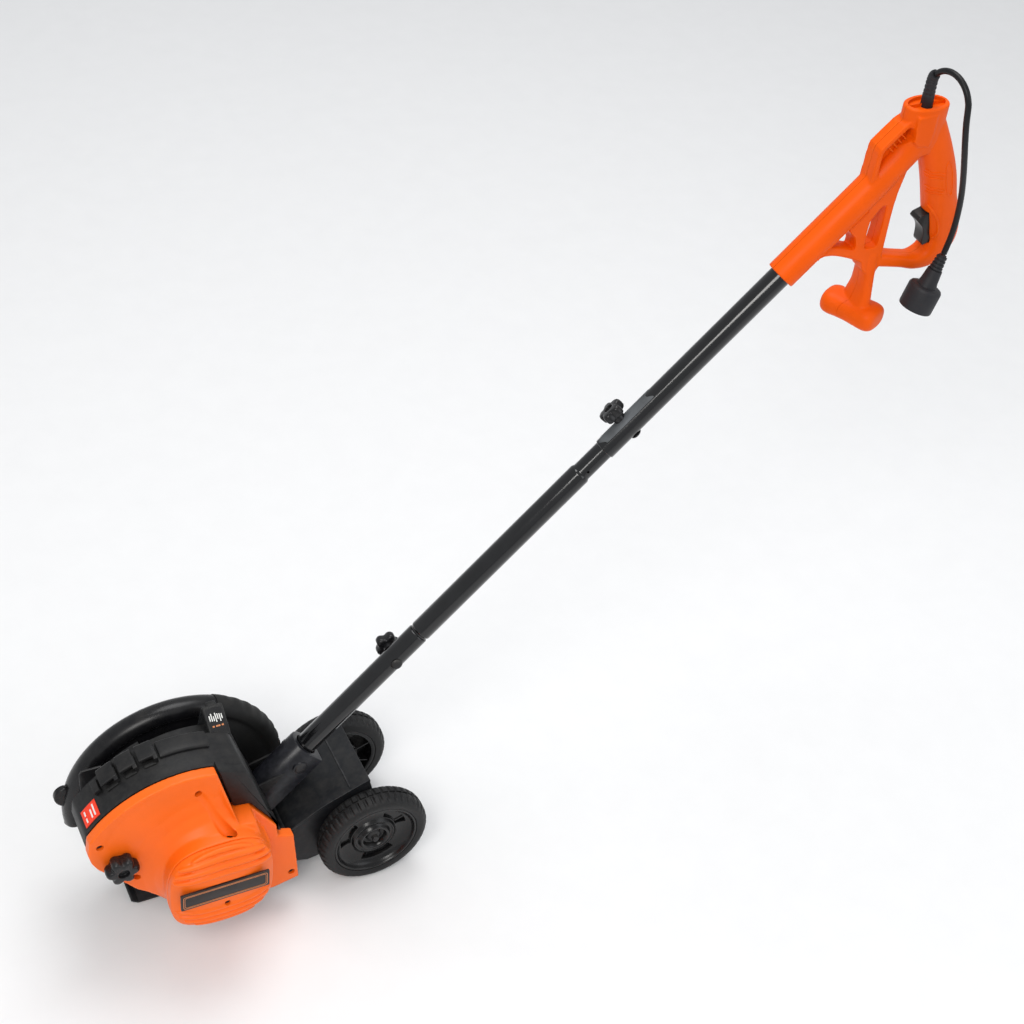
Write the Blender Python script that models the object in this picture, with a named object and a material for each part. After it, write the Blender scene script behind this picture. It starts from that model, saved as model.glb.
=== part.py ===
"""Corded lawn edger: motor head with blade guard, wheel carriage, three-piece pole, handle and pigtail."""
import math
import bmesh
import bpy
from mathutils import Matrix, Vector

# ---------------------------------------------------------------- driving dimensions (metres, degrees)
CENTRE_X = 0.1622          # wheel axle to the middle of the object's length
CENTRE_Y = 0.0450         # near wheel's outer face to the middle of the object's width
GAP = 0.0003              # clearance between pieces that touch

WHEEL_R = 0.064
WHEEL_W = 0.028
WHEEL_FAR_Y = 0.123       # inner face of the far wheel
AXLE_R = 0.004
AXLE_Z = WHEEL_R

SPINDLE_X = -0.194
SPINDLE_Z = 0.113
GEAR_OFFSET = 0.023       # centre distance of pinion and gear
MOTOR_Z = SPINDLE_Z + GEAR_OFFSET
PINION_TEETH = 9
GEAR_TEETH = 37

BLADE_R = 0.095
BLADE_Y = 0.1265
BLADE_T = 0.0024
GUARD_R = 0.125
GUARD_NEAR_Y = 0.112
GUARD_FAR_Y = 0.138
GUARD_WALL = 0.003

BODY_CX = -0.215          # centre of the body's arched top
BODY_CZ = 0.131
BODY_R = 0.1275
FACE_Y = 0.004            # near face of the body
PLATE_T = 0.012           # thickness of the motor housing's flange
BODY_SPLIT_Y = 0.073
BODY_FAR_Y = 0.098
BULGE_R = 0.059
BULGE_Y = -0.0385         # seam between motor housing and end cap
CAP_Y = -0.0560           # outer face of the end cap

POLE_ANGLE = 45.4
POLE_Y = 0.070
POLE_X0 = -0.060          # mouth of the pole socket
POLE_Z0 = 0.177
TUBE_R = 0.012
CORD_R = 0.0032
TUBE_WALL = 0.0012
NECK_R = 0.0105
SOCKET_DEPTH = 0.060
LOWER_END = 0.180         # distances along the pole from the socket's mouth
SHOULDER = 0.431
UPPER_START = 0.464
COLLAR = 0.716
TUBE_TOP = 0.800
JOINT_LOW = 0.141
JOINT_HIGH = 0.499

GRIP_HALF_X = 0.0185
GRIP_HALF_Y = 0.0165
HEAD_HALF_X = 0.0252
HEAD_HALF_Y = 0.0158
HEAD_X = 0.577
HEAD_TOP_Z = 0.866

ORANGE = (0.88, 0.13, 0.015)
BLACK = (0.012, 0.012, 0.013)

# ---------------------------------------------------------------- clean scene
for ob in list(bpy.data.objects):
    bpy.data.objects.remove(ob, do_unlink=True)


# ---------------------------------------------------------------- helpers
def material(name, rgb, rough, metal=0.0):
    mat = bpy.data.materials.new(name)
    mat.use_nodes = True
    node = mat.node_tree.nodes["Principled BSDF"]
    node.inputs["Base Color"].default_value = (rgb[0], rgb[1], rgb[2], 1.0)
    node.inputs["Roughness"].default_value = rough
    node.inputs["Metallic"].default_value = metal
    mat.diffuse_color = (rgb[0], rgb[1], rgb[2], 1.0)
    return mat


def make(name, bm, rgb=BLACK, rough=0.5, metal=0.0, smooth=True):
    bmesh.ops.remove_doubles(bm, verts=bm.verts, dist=1e-6)
    bmesh.ops.recalc_face_normals(bm, faces=bm.faces)
    me = bpy.data.meshes.new(name)
    bm.to_mesh(me)
    bm.free()
    ob = bpy.data.objects.new(name, me)
    bpy.context.scene.collection.objects.link(ob)
    ob.data.materials.append(material(name + "_mat", rgb, rough, metal))
    if smooth:
        shade(ob)
    return ob


def shade(ob, angle=35.0):
    me = ob.data
    me.shade_smooth()
    bm = bmesh.new()
    bm.from_mesh(me)
    limit = math.radians(angle)
    for edge in bm.edges:
        if len(edge.link_faces) == 2:
            edge.smooth = edge.calc_face_angle(0.0) < limit
    bm.to_mesh(me)
    bm.free()


def apply_modifiers(ob):
    deps = bpy.context.evaluated_depsgraph_get()
    me = bpy.data.meshes.new_from_object(ob.evaluated_get(deps), depsgraph=deps)
    ob.modifiers.clear()
    ob.data = me


def boolean(ob, other, how="DIFFERENCE", keep=False):
    mod = ob.modifiers.new("cut", "BOOLEAN")
    mod.operation = how
    mod.solver = "EXACT"
    mod.object = other
    other.hide_render = True
    other.display_type = "WIRE"
    apply_modifiers(ob)
    if not keep:
        bpy.data.objects.remove(other, do_unlink=True)
    bm = bmesh.new()
    bm.from_mesh(ob.data)
    bmesh.ops.dissolve_limit(bm, angle_limit=math.radians(0.4), verts=bm.verts, edges=bm.edges)
    if all(len(edge.link_faces) == 2 for edge in bm.edges):
        bm.to_mesh(ob.data)
    bm.free()
    shade(ob)
    return ob


def cut(ob, *tools):
    for tool in tools:
        boolean(ob, tool, "DIFFERENCE")
    return ob


def fuse(ob, *tools):
    for tool in tools:
        boolean(ob, tool, "UNION")
    return ob


def bevel(ob, width, segments=2, angle=40.0):
    mod = ob.modifiers.new("round", "BEVEL")
    mod.width = width
    mod.segments = segments
    mod.limit_method = "ANGLE"
    mod.angle_limit = math.radians(angle)
    apply_modifiers(ob)
    shade(ob)
    return ob


def prism(points, y0, y1):
    """Closed polygon in the XZ plane, extruded from y0 to y1."""
    bm = bmesh.new()
    low = [bm.verts.new((x, y0, z)) for x, z in points]
    high = [bm.verts.new((x, y1, z)) for x, z in points]
    bm.faces.new(low)
    bm.faces.new(high)
    count = len(points)
    for i in range(count):
        j = (i + 1) % count
        bm.faces.new((low[i], low[j], high[j], high[i]))
    return bm


def box(x0, x1, y0, y1, z0, z1):
    return prism([(x0, z0), (x1, z0), (x1, z1), (x0, z1)], y0, y1)


def rings(loops, cap=True):
    """Skin a list of equal loops of points into a closed solid."""
    bm = bmesh.new()
    rows = [[bm.verts.new(p) for p in loop] for loop in loops]
    count = len(rows[0])
    for a, b in zip(rows, rows[1:]):
        for i in range(count):
            j = (i + 1) % count
            bm.faces.new((a[i], a[j], b[j], b[i]))
    if cap:
        bm.faces.new(rows[0])
        bm.faces.new(rows[-1])
    else:
        for i in range(count):
            j = (i + 1) % count
            bm.faces.new((rows[-1][i], rows[-1][j], rows[0][j], rows[0][i]))
    return bm


def frame_of(axis):
    axis = Vector(axis).normalized()
    side = Vector((0, 1, 0)) if abs(axis.y) < 0.9 else Vector((1, 0, 0))
    side = (side - axis * side.dot(axis)).normalized()
    return axis, side, axis.cross(side)


def lathe(origin, axis, profile, n=32, closed=False):
    """Turn a profile of (distance along the axis, radius). A closed profile makes a ring."""
    axis, u, v = frame_of(axis)
    origin = Vector(origin)
    loops = []
    for t, r in profile:
        c = origin + axis * t
        loops.append([c + (u * math.cos(a) + v * math.sin(a)) * r
                      for a in (2 * math.pi * k / n for k in range(n))])
    return rings(loops, cap=not closed)


def rod(origin, axis, t0, t1, r, n=20):
    return lathe(origin, axis, [(t0, r), (t1, r)], n)


def tube(origin, axis, t0, t1, r_out, r_in, n=32):
    return lathe(origin, axis, [(t0, r_in), (t0, r_out), (t1, r_out), (t1, r_in)], n, closed=True)


def arc_solid(cx, cz, profile, a0, a1, n):
    """Sweep a closed (radius, y) profile round the Y axis through (cx, cz), between two angles."""
    loops = []
    for k in range(n + 1):
        a = math.radians(a0 + (a1 - a0) * k / n)
        loops.append([(cx + r * math.cos(a), y, cz + r * math.sin(a)) for r, y in profile])
    return rings(loops)


def sweep(path, n=14):
    """Skin ellipses along a path in the XZ plane: (x, z, half width in plane, half width in y, power)."""
    pts = [Vector((p[0], POLE_Y, p[1])) for p in path]
    loops = []
    for k, p in enumerate(path):
        prev_pt = pts[max(k - 1, 0)]
        next_pt = pts[min(k + 1, len(pts) - 1)]
        along = (next_pt - prev_pt).normalized()
        side = Vector((along.z, 0, -along.x))
        power = p[4] if len(p) > 4 else 1.0
        loop = []
        for i in range(n):
            a = 2 * math.pi * (i + 0.5) / n
            c = math.copysign(abs(math.cos(a)) ** power, math.cos(a))
            s = math.copysign(abs(math.sin(a)) ** power, math.sin(a))
            loop.append(pts[k] + side * (p[2] * c) + Vector((0, 1, 0)) * (p[3] * s))
        loops.append(loop)
    return rings(loops)


def arc_points(cx, cz, r, a0, a1, n):
    out = []
    for k in range(n + 1):
        a = math.radians(a0 + (a1 - a0) * k / n)
        out.append((cx + r * math.cos(a), cz + r * math.sin(a)))
    return out


def grow(points, d):
    """Offset a polygon outwards by d."""
    count = len(points)
    area = sum(points[i][0] * points[(i + 1) % count][1] - points[(i + 1) % count][0] * points[i][1]
               for i in range(count))
    sign = 1.0 if area > 0 else -1.0
    out = []
    for i in range(count):
        p0, p1, p2 = (Vector(points[(i + k) % count]) for k in (-1, 0, 1))
        e1 = (p1 - p0).normalized()
        e2 = (p2 - p1).normalized()
        n1 = Vector((e1.y, -e1.x)) * sign
        n2 = Vector((e2.y, -e2.x)) * sign
        m = n1 + n2
        m = m / max(m.length_squared, 1e-9) * 2.0
        out.append((p1.x + m.x * d, p1.y + m.y * d))
    return out


def gear_points(cx, cz, teeth, pitch_r, addendum, dedendum, phase):
    pts = []
    pitch = 2 * math.pi / teeth
    for k in range(teeth):
        a = phase + k * pitch
        for da, r in ((-0.27, pitch_r - dedendum), (-0.12, pitch_r + addendum),
                      (0.12, pitch_r + addendum), (0.27, pitch_r - dedendum)):
            pts.append((cx + r * math.cos(a + da * pitch), cz + r * math.sin(a + da * pitch)))
    return pts


def pole_point(s, n=0.0, y=0.0):
    a = math.radians(POLE_ANGLE)
    return Vector((POLE_X0 + s * math.cos(a) - n * math.sin(a), POLE_Y + y,
                   POLE_Z0 + s * math.sin(a) + n * math.cos(a)))


POLE_DIR = Vector((math.cos(math.radians(POLE_ANGLE)), 0.0, math.sin(math.radians(POLE_ANGLE))))
POLE_UP = Vector((-POLE_DIR.z, 0.0, POLE_DIR.x))
Y_AXIS = (0.0, 1.0, 0.0)


def screw(name, x, y, z, direction=-1.0, r=0.0036, depth=0.010):
    """Pan-head screw standing along Y, its head at y, its shank going the other way."""
    profile = [(-0.0022, r * 0.6), (-0.0016, r), (0.0, r), (0.0, r * 0.5), (depth, r * 0.5)]
    return make(name, lathe((x, y, z), (0, -direction, 0), profile, 10), (0.45, 0.45, 0.47), 0.35, 1.0)


# ---------------------------------------------------------------- body outlines
body_arc = arc_points(BODY_CX, BODY_CZ, BODY_R, 60.0, 146.0, 14)
body_outline = body_arc + [(-0.322, 0.186), (-0.317, 0.166), (-0.307, 0.153), (-0.277, 0.119),
                           (-0.257, 0.107), (-0.215, 0.070), (-0.165, 0.046), (-0.126, 0.043),
                           (-0.109, 0.060), (-0.112, 0.128), (-0.127, 0.168), (-0.140, 0.210)]
face_arc = arc_points(BODY_CX, BODY_CZ, BODY_R, 76.0, 146.0, 12)
face_outline = face_arc + [(-0.3225, 0.184), (-0.3175, 0.164), (-0.307, 0.151), (-0.276, 0.116),
                           (-0.257, 0.105), (-0.215, 0.066), (-0.165, 0.040), (-0.122, 0.037),
                           (-0.092, 0.044), (-0.099, 0.118), (-0.117, 0.125), (-0.119, 0.143),
                           (-0.149, 0.188), (-0.168, 0.191)]
pocket_outline = arc_points(BODY_CX, BODY_CZ, BODY_R + 0.010, 76.0, 150.0, 12) + [
    (-0.335, 0.180), (-0.325, 0.150), (-0.290, 0.105), (-0.225, 0.055), (-0.165, 0.030),
    (-0.080, 0.030), (-0.080, 0.128), (-0.1130, 0.1238), (-0.1168, 0.1300), (-0.1184, 0.1433),
    (-0.1487, 0.1884), (-0.1645, 0.1914), (-0.1675, 0.1965)]

# ---------------------------------------------------------------- gear housing with pole socket
SPLIT = BODY_SPLIT_Y
housing = make("gear_housing", prism(body_outline, FACE_Y, SPLIT), BLACK, 0.55)
bevel(housing, 0.003, 2, 50)
SLEEVE_HALF = 0.019
sleeve_section = [(-SLEEVE_HALF, -0.019), (SLEEVE_HALF, -0.019), (SLEEVE_HALF, 0.001)]
for k in range(1, 12):
    ang = math.pi * k / 12
    sleeve_section.append((SLEEVE_HALF * math.cos(ang), 0.001 + SLEEVE_HALF * math.sin(ang)))
sleeve_section.append((-SLEEVE_HALF, 0.001))


def sleeve(s0, s1, extra=0.0):
    loops = []
    for s in (s0, s1):
        loops.append([pole_point(s, n * (1 + extra / SLEEVE_HALF), y * (1 + extra / SLEEVE_HALF))
                      for y, n in sleeve_section])
    return rings(loops)


fuse(housing, make("sleeve_tool", sleeve(-0.092, 0.0)))
cut(housing,
    make("t1", prism(pocket_outline, FACE_Y - 0.02, FACE_Y + PLATE_T + GAP)),
    make("t2", rod((SPINDLE_X, 0, MOTOR_Z), Y_AXIS, 0.010, 0.050, 0.050, 28)),
    make("t3", rod((SPINDLE_X, 0, MOTOR_Z), Y_AXIS, 0.045, 0.080, 0.0110 + GAP, 28)),
    make("t4", rod((SPINDLE_X, 0, SPINDLE_Z), Y_AXIS, 0.0595, 0.080, 0.0225, 36)),
    make("t5", rod((SPINDLE_X, 0, SPINDLE_Z), Y_AXIS, 0.0520, 0.080, 0.0090 + GAP, 28)),
    make("t6", rod(pole_point(0), POLE_DIR, -SOCKET_DEPTH, 0.02, TUBE_R + 0.00025, 24)),
    make("t7", rod(pole_point(-0.019), Y_AXIS, -0.03, 0.03, 0.0034, 16)),
    make("t8", rod((-0.2915, 0, 0.1640), Y_AXIS, -0.03, 0.12, 0.0034, 16)))

# raised depth rail on the arched top, in steps
def rail_section(near, far, rise):
    return [(0.120, near), (rise, near), (rise, far), (0.120, far)]


rail = make("rail_tool", arc_solid(BODY_CX, BODY_CZ, rail_section(0.0385, 0.060, 0.1305), 74.0, 98.0, 8))
for a0, a1, rise in ((99.5, 107.0, 0.132), (109.0, 116.5, 0.1320), (118.5, 126.5, 0.132)):
    step = arc_solid(BODY_CX, BODY_CZ, rail_section(0.0420, 0.0620, rise), a0, a1, 3)
    fuse(rail, make("step_tool", step))
fuse(housing, rail)

cover = make("gear_cover", prism(grow(body_outline, -0.0012), SPLIT + GAP, BODY_FAR_Y), BLACK, 0.55)
bevel(cover, 0.003, 2, 50)
fuse(cover, make("boss", rod((SPINDLE_X, 0, SPINDLE_Z), Y_AXIS, 0.090, 0.1040, 0.021, 32)))
cut(cover,
    make("t1", sleeve(-0.120, 0.02, 0.001)),
    make("t2", rod((SPINDLE_X, 0, SPINDLE_Z), Y_AXIS, 0.0880, 0.0960, 0.0130 + GAP, 32)),
    make("t3", rod((SPINDLE_X, 0, SPINDLE_Z), Y_AXIS, 0.060, 0.120, 0.0100, 28)),
    make("t4", rod((-0.2915, 0, 0.1640), Y_AXIS, -0.03, 0.12, 0.0034, 16)),
    make("t5", rod((SPINDLE_X, 0, MOTOR_Z), Y_AXIS, 0.060, 0.0755, 0.0062, 20)))
cut(cover, make("t6", rod((SPINDLE_X, 0, SPINDLE_Z), Y_AXIS, 0.060, 0.0961, 0.0130 + GAP, 32)))

# channel along the arched top, in which the depth lever swings
channel = [(0.1130, 0.0600), (0.2000, 0.0600), (0.2000, 0.1200), (0.1130, 0.1200)]
shelf = [(0.1200, 0.0625), (0.2000, 0.0625), (0.2000, 0.1200), (0.1200, 0.1200)]
for half in (housing, cover):
    cut(half, make("channel", arc_solid(SPINDLE_X, SPINDLE_Z, channel, 20.0, 112.0, 10)))
    cut(half, make("shelf", arc_solid(SPINDLE_X, SPINDLE_Z, shelf, 111.0, 182.0, 8)))

# ---------------------------------------------------------------- motor housing and end cap
shell = make("motor_housing", prism(face_outline, FACE_Y, FACE_Y + PLATE_T), ORANGE, 0.4)
bevel(shell, 0.0025, 2, 50)
bulge = lathe((SPINDLE_X, 0, MOTOR_Z), Y_AXIS,
              [(BULGE_Y, BULGE_R), (-0.012, BULGE_R + 0.0004), (FACE_Y + 0.006, BULGE_R + 0.0010)], 36)
fuse(shell, make("bulge_tool", bulge))
cut(shell,
    make("t1", rod((SPINDLE_X, 0, MOTOR_Z), Y_AXIS, -0.06, 0.03, 0.0495, 28)),
    make("t2", rod((-0.2915, 0, 0.1640), Y_AXIS, -0.03, 0.12, 0.0034, 16)))

dome = [(CAP_Y - 0.004, 0.030), (CAP_Y, 0.048), (CAP_Y + 0.004, 0.0545), (CAP_Y + 0.010, BULGE_R - 0.0012),
        (BULGE_Y - GAP, BULGE_R)]
cap = make("motor_end_cap", lathe((SPINDLE_X, 0, MOTOR_Z), Y_AXIS, dome, 36), ORANGE, 0.4)
cut(cap,
    make("t1", tube((SPINDLE_X, 0, MOTOR_Z), Y_AXIS, -0.0500, -0.03, 0.0495, 0.0130, 28)),
    make("t2", rod((SPINDLE_X, 0, MOTOR_Z), Y_AXIS, -0.0480, -0.03, 0.0080 + GAP, 24)))
badge = make("badge_plate", box(-0.2450, -0.1500, CAP_Y - 0.0055, CAP_Y - 0.0043, 0.1315, 0.1545),
             (0.03, 0.025, 0.025), 0.4)
bevel(badge, 0.0004, 1, 50)

for index, (sx, sz) in enumerate(((-0.310, 0.193), (-0.2755, 0.138), (-0.101, 0.056), (-0.2055, 0.2360))):
    hole_r = 0.0036
    boolean(shell, make("h", rod((sx, 0, sz), Y_AXIS, -0.02, FACE_Y + 0.0035, hole_r + GAP, 16)))
    boolean(shell, make("h", rod((sx, 0, sz), Y_AXIS, 0.0, FACE_Y + 0.02, 0.0021, 12)))
    deep = 0.020 if index != 2 else PLATE_T - 0.0037
    if index != 2:
        boolean(housing, make("h", rod((sx, 0, sz), Y_AXIS, 0.0, 0.0300, 0.0021, 12)))
    screw("housing_screw_%d" % (index + 1), sx, FACE_Y + 0.0032, sz, -1.0, hole_r, deep)

# ---------------------------------------------------------------- motor, gears and bearings
MX = (SPINDLE_X, 0, MOTOR_Z)
SX = (SPINDLE_X, 0, SPINDLE_Z)


def bearing(name, centre, y0, y1, outer, bore):
    make(name, tube(centre, Y_AXIS, y0, y1, outer, bore + GAP, 16), (0.6, 0.6, 0.62), 0.25, 1.0)


make("stator", tube(MX, Y_AXIS, -0.020, 0.022, 0.0445, 0.0255, 16), (0.22, 0.22, 0.24), 0.4, 0.9)
bearing("motor_bearing_rear", MX, -0.0475, -0.0425, 0.0080, 0.0040)
bearing("motor_bearing_front", MX, 0.0515, 0.0575, 0.0110, 0.0040)
for name, side in (("brush_upper", 1.0), ("brush_lower", -1.0)):
    z0, z1 = sorted((MOTOR_Z + side * 0.0115, MOTOR_Z + side * 0.0330))
    make(name, box(SPINDLE_X - 0.0035, SPINDLE_X + 0.0035, -0.0345, -0.0265, z0, z1), (0.05, 0.05, 0.05), 0.6)
rotor = [(-0.0470, 0.0038), (-0.0385, 0.0038), (-0.0385, 0.0045), (-0.0220, 0.0045), (-0.0220, 0.0245),
         (0.0230, 0.0245), (0.0230, 0.0045), (0.0500, 0.0045), (0.0500, 0.0038), (0.0590, 0.0038),
         (0.0590, 0.0022), (0.0740, 0.0022)]
make("armature", lathe(MX, Y_AXIS, rotor, 16), (0.35, 0.30, 0.27), 0.4, 0.8)
bars = tube(MX, Y_AXIS, -0.0370, -0.0240, 0.0110, 0.0045 + GAP, 16)
make("commutator", bars, (0.70, 0.32, 0.16), 0.3, 1.0)
fan_profile = [(0.0250, 0.0045 + GAP), (0.0250, 0.0100), (0.0280, 0.0100), (0.0280, 0.0400), (0.0300, 0.0400),
               (0.0300, 0.0045 + GAP)]
fan = make("cooling_fan", lathe(MX, Y_AXIS, fan_profile, 20, closed=True), (0.05, 0.05, 0.05), 0.6)
for k in range(7):
    ang = 2 * math.pi * k / 7
    blade_pts = []
    for r, off in ((0.014, -0.0008), (0.038, -0.0008), (0.038, 0.0008), (0.014, 0.0008)):
        blade_pts.append((SPINDLE_X + r * math.cos(ang) - off * math.sin(ang),
                          MOTOR_Z + r * math.sin(ang) + off * math.cos(ang)))
    fuse(fan, make("vane", prism(blade_pts, 0.0295, 0.0440)))
pinion_r = 0.001 * PINION_TEETH / 2
gear_r = 0.001 * GEAR_TEETH / 2
mesh_turn = -math.pi / 2 + math.pi / PINION_TEETH
teeth = gear_points(SPINDLE_X, MOTOR_Z, PINION_TEETH, pinion_r, 0.0007, 0.0009, mesh_turn)
pinion = make("pinion", prism(teeth, 0.0605, 0.0705), (0.55, 0.55, 0.57), 0.3, 1.0, False)
cut(pinion, make("bore", rod(MX, Y_AXIS, 0.05, 0.08, 0.0022 + GAP, 12)))
teeth = gear_points(SPINDLE_X, SPINDLE_Z, GEAR_TEETH, gear_r, 0.0007, 0.0009, math.pi / 2)
gear = make("spindle_gear", prism(teeth, 0.0610, 0.0700), (0.5, 0.5, 0.52), 0.35, 1.0, False)
cut(gear, make("bore", rod(SX, Y_AXIS, 0.05, 0.08, 0.0060 + GAP, 24)))
bearing("spindle_bearing_inner", SX, 0.0525, 0.0575, 0.0090, 0.0040)
bearing("spindle_bearing_outer", SX, 0.0875, 0.0955, 0.0130, 0.0060)
FLANGE_Y = BLADE_Y - BLADE_T / 2 - GAP
shaft = [(0.0530, 0.0040), (0.0590, 0.0040), (0.0590, 0.0060), (0.1160, 0.0060), (0.1160, 0.0180),
         (FLANGE_Y, 0.0180), (FLANGE_Y, 0.0048), (0.1430, 0.0048), (0.1435, 0.0043)]
make("spindle", lathe(SX, Y_AXIS, shaft, 16), (0.55, 0.55, 0.57), 0.3, 1.0)
make("outer_flange", tube(SX, Y_AXIS, BLADE_Y + BLADE_T / 2 + GAP, 0.1310, 0.0180, 0.0048 + GAP, 16),
     (0.5, 0.5, 0.52), 0.35, 1.0)
nut = make("blade_nut", prism(arc_points(SPINDLE_X, SPINDLE_Z, 0.0098, 0.0, 300.0, 5), 0.1313, 0.1400),
           (0.6, 0.6, 0.62), 0.3, 1.0, False)
cut(nut, make("bore", rod(SX, Y_AXIS, 0.12, 0.17, 0.0048 + GAP, 24)))

BLADE_TILT = 24.0
bl = math.radians(BLADE_TILT)
half_w = 0.0155
reach = math.sqrt(BLADE_R ** 2 - half_w ** 2)
blade_pts = []
for px, pz in ((reach - 0.012, -half_w), (reach, -half_w + 0.012), (reach, half_w), (-reach + 0.012, half_w),
               (-reach, half_w - 0.012), (-reach, -half_w)):
    blade_pts.append((SPINDLE_X + px * math.cos(bl) - pz * math.sin(bl),
                      SPINDLE_Z + px * math.sin(bl) + pz * math.cos(bl)))
blade_solid = prism(blade_pts, BLADE_Y - BLADE_T / 2, BLADE_Y + BLADE_T / 2)
blade = make("blade", blade_solid, (0.35, 0.35, 0.36), 0.35, 1.0, False)
cut(blade, make("bore", rod(SX, Y_AXIS, 0.12, 0.15, 0.0048 + GAP, 24)))

# ---------------------------------------------------------------- blade guard, front and rear parts
def rim_profile(r_out, near, far, wall, lip_in, near_in):
    """C-shaped channel with a rounded crown."""
    half = (far - near) / 2
    mid = (far + near) / 2
    crown = 0.0125
    outer = [(near_in, near), (r_out - crown, near)]
    for k in range(1, 8):
        a = math.pi * k / 8
        outer.append((r_out - crown + crown * math.sin(a), mid - half * math.cos(a)))
    outer += [(r_out - crown, far), (lip_in, far)]
    inner = [(lip_in, far - wall), (r_out - crown, far - wall)]
    for k in range(7, 0, -1):
        a = math.pi * k / 8
        inner.append((r_out - crown + (crown - wall) * math.sin(a), mid - (half - wall) * math.cos(a)))
    inner += [(r_out - crown, near + wall), (near_in, near + wall)]
    return outer + inner


guard_profile = rim_profile(GUARD_R, GUARD_NEAR_Y, GUARD_FAR_Y, GUARD_WALL, 0.088, 0.024)
guard = make("blade_guard", arc_solid(SPINDLE_X, SPINDLE_Z, guard_profile, 64.0, 188.0, 14), BLACK, 0.3)
tab_pts = [(-0.3120, 0.1180), (-0.3260, 0.1260), (-0.3300, 0.1370), (-0.3260, 0.1480), (-0.3150, 0.1500),
           (-0.3080, 0.1400)]
fuse(guard, make("tab", prism(tab_pts, 0.1230, 0.1270)))
rear = make("rear_deflector", arc_solid(SPINDLE_X, SPINDLE_Z, guard_profile, 11.0, 63.8, 6), BLACK, 0.6)
for index, (ang, rad) in enumerate(((130.0, 0.048), (52.0, 0.086))):
    sx = SPINDLE_X + rad * math.cos(math.radians(ang))
    sz = SPINDLE_Z + rad * math.sin(math.radians(ang))
    target = guard if index == 0 else rear
    boolean(target, make("h", rod((sx, 0, sz), Y_AXIS, 0.09, 0.12, 0.0021, 12)))
    boolean(cover, make("h", rod((sx, 0, sz), Y_AXIS, 0.0880, 0.12, 0.0021, 12)))
    pad = tube((sx, 0, sz), Y_AXIS, BODY_FAR_Y - 0.002, GUARD_NEAR_Y - GAP, 0.0050, 0.0021, 16)
    fuse(cover, make("pad", pad))
    screw("guard_screw_%d" % (index + 1), sx, GUARD_NEAR_Y + GUARD_WALL + GAP, sz, 1.0, 0.0036, 0.015)

# ---------------------------------------------------------------- wheel carriage
ARM_Y0 = 0.0990
ARM_Y1 = 0.1020
deck_top = [(-0.0960, 0.0830), (-0.0880, 0.0905), (-0.0740, 0.0985), (-0.0540, 0.1105), (-0.0310, 0.1205),
            (-0.0100, 0.1295), (0.0020, 0.1340)]
deck_bottom = [(x + 0.0015, z - 0.0042) for x, z in reversed(deck_top)]
DECK_Y0 = 0.0310
DECK_Y1 = 0.1205
carriage = make("wheel_carriage", prism(deck_top + deck_bottom, DECK_Y0, DECK_Y1), BLACK, 0.6)
side_pts = deck_top[1:] + [(0.0020, 0.1300), (0.0110, 0.0700), (0.0070, 0.0560), (-0.0060, 0.0540),
                           (-0.0300, 0.0330), (-0.0600, 0.0250), (-0.0860, 0.0300), (-0.0920, 0.0600)]
inset = [(x, z - 0.0012) if i < len(deck_top) - 1 else (x, z) for i, (x, z) in enumerate(side_pts)]
for y0, y1 in ((DECK_Y0 + 0.0010, DECK_Y0 + 0.0045), (DECK_Y1 - 0.0045, DECK_Y1 - 0.0010)):
    fuse(carriage, make("side_tool", prism(inset, y0, y1)))
    boss_y0 = y0 - 0.0005
    fuse(carriage, make("boss_tool", rod((0, 0, AXLE_Z), Y_AXIS, boss_y0, y1 + 0.0005, 0.0090, 20)))
fuse(carriage, make("lip_tool", rod((-0.0955, 0, 0.0812), Y_AXIS, DECK_Y0, DECK_Y1, 0.0038, 14)))
cut(carriage, make("axle_bore", rod((0, 0, AXLE_Z), Y_AXIS, 0.0, 0.16, AXLE_R + GAP, 20)))
bevel(carriage, 0.0008, 1, 50)

ARM_HUB = 0.034
arm_pts = (arc_points(SPINDLE_X, SPINDLE_Z, ARM_HUB, 100.0, 270.0, 10)
           + [(-0.1500, 0.0780), (-0.0900, 0.0560), (-0.0550, 0.0520), (-0.0480, 0.0600), (-0.0500, 0.0950),
              (-0.0900, 0.0800), (-0.1050, 0.0950), (-0.1300, 0.1200), (-0.1480, 0.1500), (-0.1530, 0.2200),
              (-0.1520, 0.2420), (-0.1680, 0.2440), (-0.1720, 0.2200), (-0.1780, 0.1600)])
arm = make("arm_tool", prism(arm_pts, ARM_Y0, ARM_Y1), BLACK, 0.4, 0.6, False)
fuse(carriage, arm, make("tab_tool", box(-0.0850, -0.0520, ARM_Y1 - 0.001, DECK_Y1 - 0.0030, 0.0560, 0.0680)))
cut(carriage, make("hub_bore", rod(SX, Y_AXIS, 0.08, 0.12, 0.0210 + GAP, 36)))

# lever head on the arm's stalk
head_tilt = math.radians(30.0)
hx, hy, hz = -0.1590, 0.0790, 0.2440
loops = []
for t, wx, wn in ((-0.0175, 0.0095, 0.0050), (-0.0160, 0.0112, 0.0062), (0.0160, 0.0112, 0.0062),
                  (0.0175, 0.0095, 0.0050)):
    cy = hy + t * math.cos(head_tilt)
    cz = hz + t * math.sin(head_tilt)
    loop = []
    for a, b in ((-1, -1), (1, -1), (1, 1), (-1, 1)):
        loop.append((hx + a * wx, cy - b * wn * math.sin(head_tilt), cz + b * wn * math.cos(head_tilt)))
    loops.append(loop)
lever = make("depth_lever", rings(loops), BLACK, 0.5)
bevel(lever, 0.0015, 2, 50)
fuse(lever, make("stem", box(-0.1645, -0.1535, 0.0880, ARM_Y0 - GAP, 0.2340, 0.2560)))

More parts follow.
